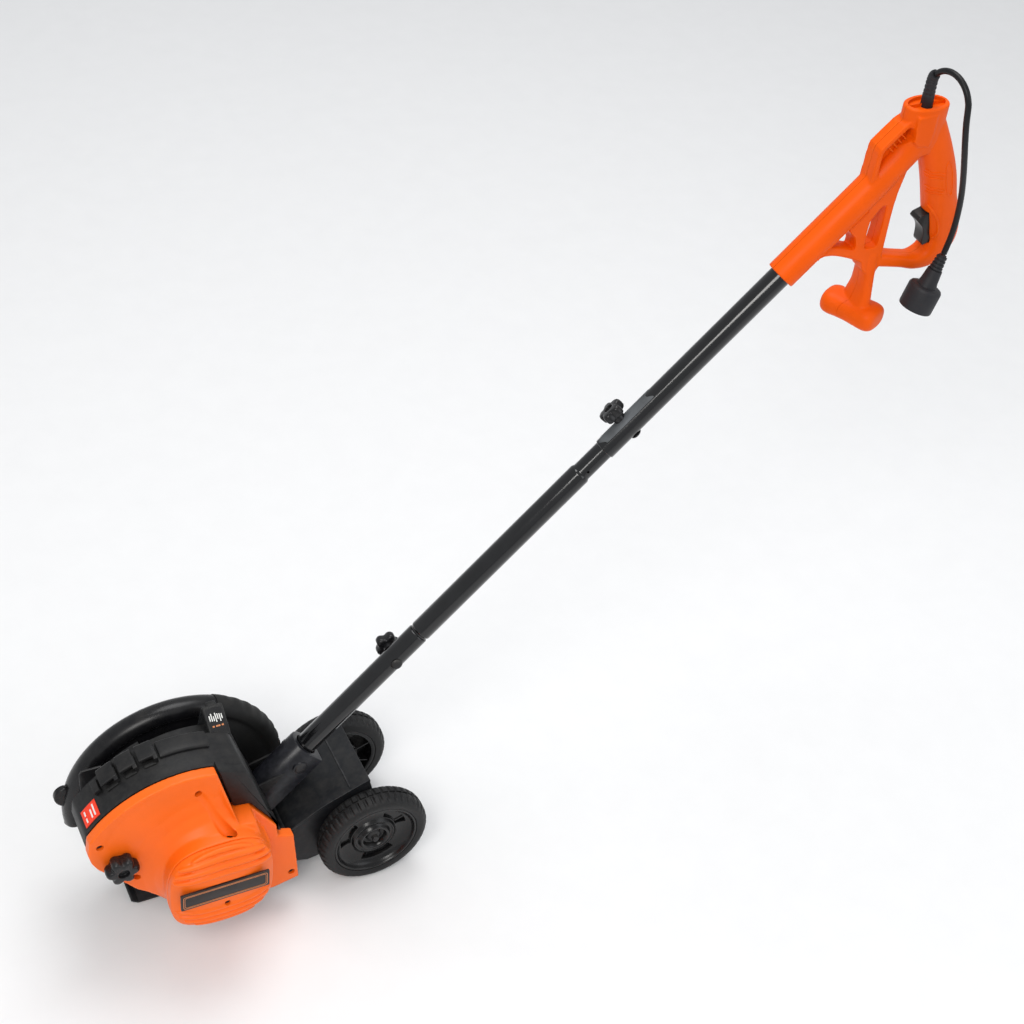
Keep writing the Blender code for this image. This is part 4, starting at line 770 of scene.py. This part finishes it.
def make_guard():
    guard = make("rim", arc_solid(SPINDLE_X, SPINDLE_Z, channel_profile(), 64, 188, 72), None, 40)
    bevel(guard, 0.0007, 2, 50)
    tab = spline(mm(2, -308, 124, -318, 126, -325, 133, -326.8, 142, -323, 150, -315, 153, -308, 148, -302, 139), 5,
        closed=True)
    pointer = bevel(part(prism(tab, 0.1212, 0.1288)), 0.0016, 3, 40)
    fin = bevel(part(prism(mm(2, -306, 120, -324.5, 134, -323.5, 148, -306, 160), 0.124, 0.126)), 0.0005, 2)
    # reinforced lip along the front edge
    lip = []
    for k in range(24):
        t = k / 23
        y = GUARD_NEAR_Y + 0.004 + (GUARD_FAR_Y - GUARD_NEAR_Y - 0.008) * t
        r = GUARD_R - 0.0135 + 0.0115 * sin(pi * (0.06 + 0.88 * t)) ** 0.85
        a = radians(188.4)
        lip.append(((SPINDLE_X + r * cos(a), y, SPINDLE_Z + r * sin(a)), 0.0024))
    ob = join("guard_shell", [guard, pointer, fin, part(bent_rod(lip, 12))], GUARD_BLACK)
    put(shade_smooth(ob, 40), "blade_guard", slot="gloss_black_plastic")

    def corrugation(t):
        return 0.0009 * (0.5 - 0.5 * cos(2 * pi * 9 * t))

    rear = make("rear", arc_solid(SPINDLE_X, SPINDLE_Z, channel_profile(), -4, 63.6, 90, corrugation), None, 40)
    bevel(rear, 0.0006, 2, 60)
    # band where the deflector laps the guard
    band = [(r + 0.0008, y, 0) for r, y, _ in channel_profile()[5:26]]
    band += [(r - 0.0012, y, 0) for r, y, _ in reversed(channel_profile()[5:26])]
    strap = make("band", arc_solid(SPINDLE_X, SPINDLE_Z, band, 61.5, 66, 6), None, 40)
    ob = join("rear_flap", [rear, strap], DEFLECTOR_BLACK)
    put(shade_smooth(ob, 40), "rear_deflector")
    # wire spring loop beside the lever
    coil = []
    for k in range(49):
        a = 2 * pi * 3 * k / 48
        coil.append(((-0.144 + 0.0045 * cos(a), 0.1075 + 0.001 * a / 6.28, 0.206 + 0.0045 * sin(a)), 0.0006))
    tail = [((-0.1395, 0.106, 0.206), 0.0006), ((-0.139, 0.1, 0.212), 0.0006), ((-0.146, 0.096, 0.218), 0.0006)]
    ob = join("wire_spring", [part(bent_rod(coil, 8)), part(bent_rod(tail, 8))], STEEL)
    put(shade_smooth(ob, 60), slot="steel")
    for k, (ang, rad) in enumerate(((130, 0.048), (52, 0.086))):
        c = (SPINDLE_X + rad * cos(radians(ang)), GUARD_NEAR_Y + 0.0033, SPINDLE_Z + rad * sin(radians(ang)))
        head = lathe(c, Y_AXIS, mm(2, -12, 1.9, -0.2, 1.9, 0, 3.6, 1, 3.4, 1.8, 2), 28)
        put(make("guard_bolt_%d" % (k + 1), head, STEEL), "guard_screw_%d" % (k + 1), slot="steel")


# ---- carriage and depth lever
def make_carriage():
    top = spline(mm(2, -96.5, 82, -90, 89.5, -74, 99, -54, 111, -31, 121, -10, 129.5, 2, 134), 5)
    bottom = [(x + 0.001, z - 0.0036) for x, z in reversed(top)]
    deck = bevel(part(prism(top + bottom, 0.031, 0.1205)), 0.001, 3, 40)
    lip = part(lathe((-0.0955, 0, 0.0812), Y_AXIS, mm(2, 31, 2.4, 31.8, 3.6, 119.7, 3.6, 120.5, 2.4), 28))
    pieces = [deck, lip]
    side = [(x, z - 0.001) for x, z in top[6:]] + mm(2, 3, 128, 10, 100, 11.5, 72, 8, 57, -4, 53, -20, 40, -45, 29,
        -70, 25, -86, 30, -91.5, 60)
    for y0 in (0.0318, 0.1162):
        pieces.append(bevel(part(prism(side, y0, y0 + 0.0035)), 0.001, 3, 40))
        boss = [(y0 - 0.0006, AXLE_R + GAP), (y0 - 0.0006, 0.0085), (y0 + 0.007, 0.009), (y0 + 0.007, AXLE_R + GAP)]
        pieces.append(part(lathe((0, 0, WHEEL_R), Y_AXIS, boss, 48, closed=True)))
    # stiffening ribs under the deck
    for x in (-0.07, -0.045, -0.02):
        z = 0.0975 + (x + 0.074) * 0.52
        pieces.append(part(box(x - 0.0008, x + 0.0008, 0.034, 0.118, z - 0.012, z + 0.001)))
    arm = (arc_points(SPINDLE_X, SPINDLE_Z, 0.034, 100, 270, 28) + mm(2, -150, 78, -90, 56, -55, 52, -48, 60, -50, 95,
        -90, 80, -105, 95, -130, 120, -148, 150, -153, 220, -152, 242, -168, 244, -172, 220, -178, 160))
    plate = part(prism(arm, 0.099, 0.102))
    cut(plate, rod(SPINDLE, Y_AXIS, 0.08, 0.12, 0.0213, 64))
    pieces.append(bevel(plate, 0.0005, 2, 40))
    pieces.append(bevel(part(box(-0.085, -0.052, 0.101, 0.117, 0.056, 0.068)), 0.001, 2))
    # far corner cut away so that the deck swings past the guard
    reach = mm(2, 60, 111, 129, 111, 129, 126, 60, 126)
    for piece in pieces:
        cut(piece, arc_solid(SPINDLE_X, SPINDLE_Z, reach, -70, 40, 40))
    put(fused("wheel_deck", pieces, DECK_BLACK), "wheel_carriage", body="carriage")


def make_lever():
    """Slanted head with a scale label: plain bars, no lettering."""
    tilt = radians(30)
    place = Matrix.Translation((-0.159, 0.079, 0.244)) @ Matrix.Rotation(tilt, 4, "X")
    head = part(box(-0.0112, 0.0112, -0.0175, 0.0175, -0.0062, 0.005))
    bevel(head, 0.0022, 3)
    rim = part(prism(rounded_rect(-0.0104, 0.0104, -0.0168, 0.0168, 0.0028), 0, 0.0014))
    cut(rim, prism(rounded_rect(-0.0088, 0.0088, -0.015, 0.015, 0.002), -0.01, 0.01))
    rim.data.transform(Matrix.Translation((0, 0, 0.0048)) @ Matrix.Rotation(radians(-90), 4, "X"))
    head.data.transform(place)
    rim.data.transform(place)
    stem = bevel(part(box(-0.1645, -0.1535, 0.088, 0.0987, 0.234, 0.256)), 0.0015, 2)
    put(fused("lever_head", [head, rim, stem], MATTE_BLACK, 45), "depth_lever", body="carriage")

    def on_label(name, mat, rects, height):
        bars = [part(box(x - w / 2, x + w / 2, y - h / 2, y + h / 2, 0.0046, height)) for x, y, w, h in rects]
        made = join(name, bars, mat)
        made.data.transform(place)
        return put(made, body="carriage")

    on_label("lever_label", LABEL_DARK, [(0, 0.001, 0.0172, 0.025)], 0.0053)
    bars = [(-0.0066 + 0.0022 * k, 0.003 + 0.001 * sin(2.1 * k), 0.0011,
        (0.006, 0.0084, 0.0054, 0.01)[k % 4]) for k in range(7)]
    on_label("lever_scale", LABEL_WHITE, bars, 0.0056)
    on_label("lever_marks", BADGE_LINE, [(x, -0.0062, 0.0022, 0.0018) for x in (-0.005, -0.0012, 0.0012, 0.005)],
        0.0056)


# ---- knobs, bolts and edge guide
def lobed_knob(name, origin, axis, depth, r_base, r_amp, lobes, stem_r, stem_len, bore_r):
    axis, u, v = frame_of(axis)
    origin = Vector(origin)
    n = lobes * 16
    loops = []
    for t, k in ((0, 0.8), (0.06, 0.92), (0.18, 1), (0.5, 1.02), (0.78, 1), (0.92, 0.94), (0.985, 0.84), (1, 0.7)):
        loop = []
        for a in full_turn(n):
            wave = 1 - abs(sin(lobes * a / 2)) ** 3 * 1.6
            loop.append(origin + axis * (stem_len + depth * t) + (u * cos(a) + v * sin(a)) * ((r_base + r_amp * wave)
                * k))
        loops.append(loop)
    ob = make(name, rings(loops), None, 50)
    cut(ob, rod(origin, axis, stem_len + depth * 0.72, stem_len + depth + 0.01, r_base * 0.42, 36))
    bevel(ob, 0.0005, 2, 45)
    stem = lathe(origin, axis, [(0, bore_r), (0, stem_r), (stem_len + 0.001, stem_r * 1.04),
        (stem_len + 0.001, bore_r)], 36, closed=True)
    return fused(name, [ob, part(stem)], KNOB_BLACK, 45)


def make_joints():
    low = (Y_AXIS * 0.985 - POLE_UP * 0.171).normalized()
    high = (Y_AXIS * 0.442 + POLE_UP * 0.897).normalized()
    for label, s, axis in (("lower", JOINT_LOW, low), ("upper", JOINT_HIGH, high)):
        c = pole_point(s)
        knob = lobed_knob(label + "_clamp_knob", c + axis * (TUBE_R + 0.0003), axis, 0.0118, 0.0118, 0.0024, 5,
            0.0068, 0.0056, 0.0034)
        put(knob, label + "_joint_knob", body=label + "_knob")
        bolt = lathe(c, axis, mm(2, -15, 1.2, -14.8, 3.4, -14, 5.2, -13, 6.2, -12.3, 6.6, -12.1, 3, 25, 3, 25.5, 2.4),
            36)
        put(make(label + "_carriage_bolt", bolt, BLACK_STEEL), label + "_joint_bolt", slot="steel")
    c = pole_point(-0.019)
    bolt = lathe(c, Y_AXIS, mm(2, -21.4, 1.4, -21.2, 4.4, -20.6, 6.2, -19.8, 7, -19.3, 7, -19.3, 3, 24, 3, 24.4, 2.4),
        40)
    put(make("socket_rivet", bolt, BLACK_STEEL), "socket_bolt", slot="steel")


def make_edge_guide():
    gx, gz = -0.2915, 0.164
    knob = lobed_knob("guide_star_knob", (gx, FACE_Y - 0.0005, gz), (0, -1, 0), 0.016, 0.0146, 0.003, 6, 0.011,
        0.0025, 0.0032)
    put(knob, "guide_knob", body="guide_knob")
    bolt = lathe((gx, 0, gz), Y_AXIS, mm(2, -12, 1, -11.8, 2.6, 101.3, 2.8, 101.3, 7.5, 102.6, 7.2, 103.6, 5.6, 103.8,
        2), 32)
    put(make("guide_stud", bolt, STEEL), "guide_bolt", body="guide_knob", slot="steel")
    strap = mm(2, -300, 200, -303, 196, -303, 80, -270, 15, -262, 2, -260, 0, -145, 0, -143, 2, -143, 20, -150, 26,
        -240, 30, -276, 90, -276, 196, -279, 200)
    plate = part(prism(strap, 0.0985, 0.101))
    slot = arc_points(gx, gz - 0.03, 0.0034, 180, 360, 10) + arc_points(gx, gz, 0.0034, 0, 180, 10)
    cut(plate, prism(slot, 0.09, 0.11))
    bevel(plate, 0.0005, 2, 40)
    sole = bevel(part(box(-0.258, -0.145, 0.062, 0.0995, 0, 0.0025)), 0.0006, 2)
    toe = bevel(part(prism(mm(2, -258, 0, -257.4, 2.5, -264, 8, -266.2, 6.4), 0.062, 0.0995)), 0.0005, 2)
    put(fused("guide_plate", [plate, sole, toe], BLACK_STEEL), "edge_guide", body="edge_guide", slot="black_paint")


# ---- pole
def make_pole():
    origin = pole_point(0)
    r, w = TUBE_R, TUBE_WALL
    lower = [(-0.058, r - w), (-0.058, r), (LOWER_END - 0.0006, r), (LOWER_END, r - 0.0005), (LOWER_END, r - w)]
    put(make("pole_lower", lathe(origin, POLE_DIR, lower, 64, closed=True), TUBE_PAINT), "lower_tube",
        slot="black_paint")
    middle = [(0.122, NECK_R - w), (0.122, NECK_R), (LOWER_END + 0.0012, NECK_R)]
    middle += [(LOWER_END + 0.0012 + 0.0035 * k / 6,
        NECK_R + (r - NECK_R) * (0.5 - 0.5 * cos(pi * k / 6))) for k in range(1, 7)]
    middle += [(SHOULDER - 0.0045 + 0.0045 * k / 6,
        r - (r - NECK_R) * (0.5 - 0.5 * cos(pi * k / 6))) for k in range(7)]
    middle += [(0.518, NECK_R), (0.518, NECK_R - w)]
    ob = make("pole_middle", lathe(origin, POLE_DIR, middle, 64, closed=True), TUBE_PAINT)
    cut(ob, rod(pole_point(0.4365, 0, 0), Y_AXIS * 0.9 - POLE_UP * 0.3, -0.02, 0, 0.0014, 20))
    put(ob, "middle_tube", slot="black_paint")
    upper = [(UPPER_START, r - w), (UPPER_START, r - 0.0005), (UPPER_START + 0.0006, r), (0.79, r), (0.79, r - w)]
    put(make("pole_upper", lathe(origin, POLE_DIR, upper, 64, closed=True), TUBE_PAINT), "upper_tube",
        slot="black_paint")
    # paint rubbed dull where the upper joint has been slid and clamped
    patch = bmesh.new()
    rows = []
    for k in range(25):
        s = 0.47 + 0.068 * k / 24
        row = []
        for i in range(15):
            t = i / 14
            a = radians(60 + 95 * t)
            edge = 0.0035 * sin(9 * t + 1.3) * (1 if k in (0, 24) else 0)
            row.append(patch.verts.new(pole_point(s + edge, (r + 0.00012) * sin(a), -(r + 0.00012) * cos(a))))
        rows.append(row)
    for a, b in zip(rows, rows[1:]):
        for i in range(14):
            patch.faces.new((a[i], a[i + 1], b[i + 1], b[i]))
    ob = make("rubbed_paint", patch, SCUFF)
    modify(ob, "SOLIDIFY", thickness=0.0002, offset=0)
    put(bake(ob), slot="black_paint")


# ---- handle
def make_handle():
    web_half = 0.0105
    barrel = [(*pole_point(t).xz, BARREL_R, BARREL_R, 1) for t in (0.718, 0.74, 0.77, 0.8, 0.83, 0.846)]
    barrel += stations(547, 793, 15.8, 15.5, 1, 558, 805, 15.8, 15.2, 1, 568, 818, 17.5, 15, 1, 574, 833, 20, 15,
        0.95)
    grip = stations(588, 842, 15, 13.5, 0.85, 602, 810, 17.5, 15.7, 0.85, 615, 778, 18.5, 16.5, 0.85, 625, 746, 18.5,
        16.5, 0.85, 634.5, 718, 19.5, 16.5, 0.8, 637, 698, 18, 15.5, 0.8, 627, 680, 13.5, 14.5, 0.75, 609, 674.5, 8.5,
        13, 0.7, 590, 679, 7, 11.5, 0.6, 560, 687, 8, 11, 0.6)
    bar = stations(482, 713, 6, 10.5, 0.5, 500, 711, 5.5, 10.5, 0.5, 523, 703, 6, 10.5, 0.5, 540, 695, 7, 10.5, 0.5)
    stem = stations(550, 698, 8.5, 11.2, 0.55, 551, 679, 7.2, 12.5, 0.6, 552, 656, 6.8, 15, 0.65, 551, 642, 8.5, 18,
        0.75, 550, 630, 11, 20.5, 0.85)
    pieces = [part(sweep(spline(path, 6))) for path in (barrel, grip, bar, stem)]
    web = mm(2, 512, 742, 521, 724, 524, 714, 525, 706, 537, 690, 541, 679, 550, 674, 559, 677, 560.8, 700, 560, 742,
        561.5, 770, 565, 800, 545, 790)
    panel = part(slab(spline(web, 3, closed=True), web_half))
    slot = mm(2, 535.2, 712.5, 535, 739, 539.5, 748, 545.5, 756, 550, 757, 551.5, 753, 551.5, 713, 548, 707.5, 539,
        707.2)
    cut(panel, prism(spline(slot, 4, closed=True), 0.04, 0.1))
    pieces.append(panel)
    # cross grip for the left hand, turned about the vertical
    turn = radians(26)
    cross = mm(2, -31.8, 4, -31.1, 8.5, -28.5, 11.6, -22.5, 13.2, -12, 13, 0, 12.4, 12, 12.6, 22.5, 13.2, 29, 11.8,
        32.5, 8.8, 33.6, 4)
    loops = []
    for along, r in spline(cross, 3):
        loop = []
        for a in full_turn(36, 0.5):
            across = 1.42 * r * signed_power(cos(a), 0.78)
            loop.append((0.548 + across * cos(turn) - along * sin(turn),
                POLE_Y + across * sin(turn) + along * cos(turn), 0.624 + 1.02 * r * signed_power(sin(a), 0.78)))
        loops.append(loop)
    pieces.append(part(rings(loops)))
    head = [(HEAD_X, 0.812, 0.018, 0.013, 0.9), (HEAD_X, 0.828, HEAD_HALF_X - 0.0004, HEAD_HALF_Y, 0.9),
        (HEAD_X, 0.848, HEAD_HALF_X, HEAD_HALF_Y, 0.9), (HEAD_X, HEAD_TOP_Z - 0.001, HEAD_HALF_X, HEAD_HALF_Y, 0.9),
        (HEAD_X, HEAD_TOP_Z, HEAD_HALF_X - 0.001, HEAD_HALF_Y - 0.001, 0.9)]
    pieces.append(part(sweep(head, 64)))
    # flat raised face on the left part of the head
    face = mm(2, 559, 833, 566, 826, 580, 824, 581.5, 840, 581.5, 859.5, 559, 859.5)
    pieces.append(part(prism(face, POLE_Y - 0.0168, POLE_Y)))
    strap = mm(2, 522.5, 774, 525, 822, 526.5, 827, 548, 848, 553, 851.2, 560, 853, 566, 853, 566, 847.5, 555, 846.2,
        532, 824.5, 530.5, 820.5, 530, 785)
    pieces.append(part(slab(strap, web_half)))
    ob = mould(join("handle_skin", pieces, ORANGE_GRIP), 0.0009, 3, 1)
    window = spline(mm(2, 532.5, 806, 531.8, 819.5, 534, 824.5, 554, 844, 559, 845, 560, 840, 560, 833, 550, 821, 539,
        808), 4, closed=True)
    cut(ob, prism(window, 0.04, 0.1))
    teeth = [ob]
    for k in range(4):
        c = Vector((0.5372 + 0.0042 * k, 0, 0.8262 + 0.004 * k))
        blade = [(c.x + a * 0.69 + b * 0.72, c.z + a * 0.72 - b * 0.69) for a,
            b in mm(2, -0.7, -2, 0.7, -2, 0.7, 8.5, -0.7, 8.5)]
        teeth.append(part(slab(blade, 0.0085)))
    ob = mould(join("handle_skin", teeth, ORANGE_GRIP), 0.0009, 2, 0.45)
    trig_c, trig_dir, trig_up = Vector((0.618, POLE_Y, 0.7165)), Vector((0.957, 0, 0.29)), Vector((-0.29, 0, 0.957))
    pocket = mm(2, -20, -20.6, 15, -20.6, 15, 20.6, -20, 20.6)

    def by_trigger(rows):
        return [(p.x, p.z) for p in (trig_c + trig_dir * f + trig_up * h for f, h in rows)]

    def oval(z0, z1, inset):
        return rings([[(HEAD_X + (HEAD_HALF_X - inset) * cos(a), POLE_Y + (HEAD_HALF_Y - inset) * sin(a),
            z) for a in full_turn(64)] for z in (z0, z1)])

    for tool in (rod(pole_point(0), POLE_DIR, COLLAR - 0.02, 0.795, TUBE_R + 0.0003, 56),
            lathe(pole_point(0), POLE_DIR, [(COLLAR - 0.02, 0.015), (COLLAR + 0.002, 0.014),
            (COLLAR + 0.005, TUBE_R)], 56), slab(by_trigger(pocket), 0.0081),
            oval(HEAD_TOP_Z - 0.0035, HEAD_TOP_Z + 0.01, 0.004), rod((HEAD_X, POLE_Y, 0), Z_AXIS, 0.845, 0.9, 0.0068,
            40)):
        cut(ob, tool)
    skin = surface_tree(ob)
    beads = []

    def bead(line, r):
        beads.append(part(ridge(skin, line, r)))

    # grip: two groups of short wavy lines and a long oval; trigger collar; blank outlined panel on the barrel
    for x0, z0 in ((0.589, 0.79), (0.5934, 0.77)):
        for k in range(3):
            line = [(x0 + 0.0026 * i, z0 - 0.0036 * k - 0.0002 * i + 0.0007 * sin(1.5 * i)) for i in range(9)]
            bead(spline(line, 3), 0.0007)
    panel = []
    for a in full_turn(40):
        along, across = 0.016 * cos(a) + 0.0055 * copysign(1, cos(a)), 0.004 * sin(a)
        panel.append((0.6178 + along * -0.29 + across * 0.957, 0.78 + along * 0.957 + across * 0.29))
    bead(panel + [panel[0]], 0.0007)
    surround = mm(2, 598, 754, 608.1, 744, 617, 731, 622.4, 717, 621.5, 706, 612, 696)
    bead(spline(surround, 8), 0.0016)
    corners = mm(2, 756, -7.5, 756, -14.5, 826, -14.5, 826, -7.5)
    outline = [tuple(pole_point(t, n).xz) for t, n in corners]
    dense = []
    for a, b in zip(outline, outline[1:] + outline[:1]):
        dense += [(a[0] + (b[0] - a[0]) * t / 12, a[1] + (b[1] - a[1]) * t / 12) for t in range(12)]
    bead(dense + [dense[0]], 0.0007)
    halves = []
    for label, side in (("near", -1), ("far", 1)):
        bm = bmesh.new()
        bm.from_mesh(ob.data)
        split = bmesh.ops.bisect_plane(bm, geom=bm.verts[:] + bm.edges[:] + bm.faces[:],
            plane_co=(0, POLE_Y + side * 0.0002, 0), plane_no=(0, -side, 0), clear_outer=True)
        edges = [e for e in split["geom_cut"] if isinstance(e, bmesh.types.BMEdge)]
        bmesh.ops.triangle_fill(bm, use_beauty=True, edges=edges)
        halves.append(make("handle_half_" + label, bm, ORANGE_GRIP, 40))
    drop(ob)
    near = fused("handle_half_near", [halves[0]] + beads, ORANGE_GRIP)
    put(near, "handle_shell_near", slot="orange_plastic")
    put(halves[1], "handle_shell_far", slot="orange_plastic")

    # trigger paddle with a finger hollow and a ridge across its top
    hollow = mm(2, -11.5, 19, -15, 16, -12.8, 11, -9.8, 4, -9.2, -3, -10.4, -10, -11.6, -16, -10.8, -19.2)
    side_view = by_trigger(spline(hollow, 5) + [(0.003, -0.0195), (0.003, 0.0195)])
    paddle = bevel(make("trigger_paddle", slab(side_view, 0.0075)), 0.0018, 4, 30)
    paddle.data.materials.append(TRIGGER_BLACK)
    put(paddle, "trigger", body="trigger", slot="gloss_black_plastic")


# ---- cord, strain relief and plug
CORD_R = 0.0032
CORD_ROUTE = mm(3, 577, 67.2, 898.3, 577.4, 63.8, 902.3, 578, 59.7, 905.6, 578.6, 55, 908, 579.3, 50, 909.4, 580,
    44.8, 909.8, 580.7, 39.6, 909.2, 581.3, 34.7, 907.6, 581.9, 30.1, 905.1, 582.4, 26, 901.7, 582.8, 22.6, 897.6,
    583.2, 20, 892.9, 583.6, 18.4, 887.9, 585.4, 16.8, 870.1, 589.6, 16.7, 851.3, 595.5, 18.2, 832.4, 602.3, 21,
    813.3, 609.3, 24.6, 794.1, 615.6, 28.3, 775.1, 620.5, 31.7, 756.1, 623.3, 34.1, 737.4, 623.4, 35.3, 719, 619.9,
    34.9, 701)
PLUG_TOP = Vector((0.6193, 0.0348, 0.6992))
PLUG_DIR = Vector((-0.34, -0.05, -0.94)).normalized()


def make_cord():
    route = [Vector(p) + SHIFT for p in CORD_ROUTE]
    data = bpy.data.curves.new("lead", "CURVE")
    data.dimensions = "3D"
    data.bevel_depth = CORD_R
    data.bevel_resolution = 6
    data.use_fill_caps = True
    fine = spline([tuple(p) for p in route], 5)
    line = data.splines.new("POLY")
    line.points.add(len(fine) - 1)
    for point, place in zip(line.points, fine):
        point.co = (*place, 1)
    lead = add("pigtail_lead", data, CORD_BLACK)
    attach(lead, "frame")
    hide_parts("cord")

    relief = mm(4, 577, 70, 850, 6.2, 577, 70, 860, 6.2, 576.9, 70.2, 870, 6.2, 576.8, 70.3, 880, 6, 576.8, 70.3, 889,
        5.8, 576.8, 69.8, 894, 5.6, 576.8, 68.8, 896.4, 5.5, 576.9, 67.5, 897.9, 5.2)
    body = []
    for k, (x, y, z, r) in enumerate(spline(relief, 8)):
        ridge_r = 0.0005 if 20 < k < 38 and k % 4 < 2 else 0
        body.append(((x, y, z), r - ridge_r))
    put(make("cord_relief", bent_rod(body, 32), PLUG_BLACK, 30), "strain_relief", slot="cord_rubber")

    profile = [(0, 0.0042)]
    for k in range(4):
        t = 0.0015 + 0.004 * k
        profile += [(t, 0.0044 + 0.0003 * k), (t + 0.0002, 0.0056 + 0.0004 * k), (t + 0.0022, 0.0058 + 0.0004 * k),
            (t + 0.0024, 0.0045 + 0.0003 * k)]
    profile += mm(2, 16.8, 6, 17.2, 8, 30, 9.4, 36, 10.8, 36.6, 15, 37.6, 17, 39.2, 18, 40.5, 18.2, 62, 18.2, 63.4,
        17.8, 64, 16.8, 64, 15.2, 63.2, 14.6, 53.4, 14.4, 53.4, 2)
    plug = make("plug_shell", lathe(PLUG_TOP, PLUG_DIR, profile, 64), PLUG_BLACK, 30)
    put(plug, "plug_body", slot="cord_rubber")
    total = sum((Vector(b) - Vector(a)).length for a, b in zip(fine, fine[1:]))
    print("cord length", round(total, 4))


# ---- materials of the CAD pieces that stay
def dress_inner_pieces():
    plans = {LAMINATION: ("stator", "armature"), COPPER: ("commutator",), BRASS: ("plug_blade_1", "plug_blade_2"),
        CARBON: ("brush_upper", "brush_lower"), KNOB_BLACK: ("cooling_fan", "switch_body"),
        STEEL: ("motor_bearing_front", "motor_bearing_rear", "spindle_bearing_inner", "spindle_bearing_outer",
        "pinion", "spindle_gear", "spindle", "outer_flange", "blade_nut", "trigger_spring", "blade")}
    for mat, names in plans.items():
        for name in names:
            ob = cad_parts[name]
            ob.data.materials.clear()
            ob.data.materials.append(mat)


# ---- stage
def make_stage():
    me = bpy.data.meshes.new("floor")
    me.from_pydata([(-6, -6, 0), (6, -6, 0), (6, 6, 0), (-6, 6, 0)], [], [(0, 1, 2, 3)])
    floor = add("floor", me, surface("floor_pale", (0.82, 0.82, 0.82), 0.9, grain=0.02, shade=0.01))
    floor.location = (0, 0, -0.0005)
    world = bpy.data.worlds.new("studio")
    world.use_nodes = True
    world.node_tree.nodes["Background"].inputs[0].default_value = (0.95, 0.97, 1, 1)
    world.node_tree.nodes["Background"].inputs[1].default_value = 0.62
    bpy.context.scene.world = world
    bpy.context.scene.view_settings.view_transform = "Standard"
    lamps = (("key", (-1.4, -1.6, 2.6), 1.2, 42, (1, 0.98, 0.95)), ("fill", (1.9, -1.9, 1.6), 1.8, 14,
        (0.94, 0.97, 1)), ("top", (0.3, 0.6, 2.8), 1.5, 30, (1, 1, 1)))
    for name, at, size, power, colour in lamps:
        data = bpy.data.lights.new(name, "AREA")
        data.size = size
        data.energy = power
        data.color = colour
        lamp = add(name, data)
        lamp.location = at
        lamp.rotation_euler = (Vector((0, 0, 0.35)) - Vector(at)).to_track_quat("-Z", "Y").to_euler()


make_cord()
make_wheels()
make_housing()
make_motor_housing()
make_end_cap()
make_guard()
make_carriage()
make_lever()
make_joints()
make_edge_guide()
make_pole()
make_handle()
dress_inner_pieces()
make_stage()
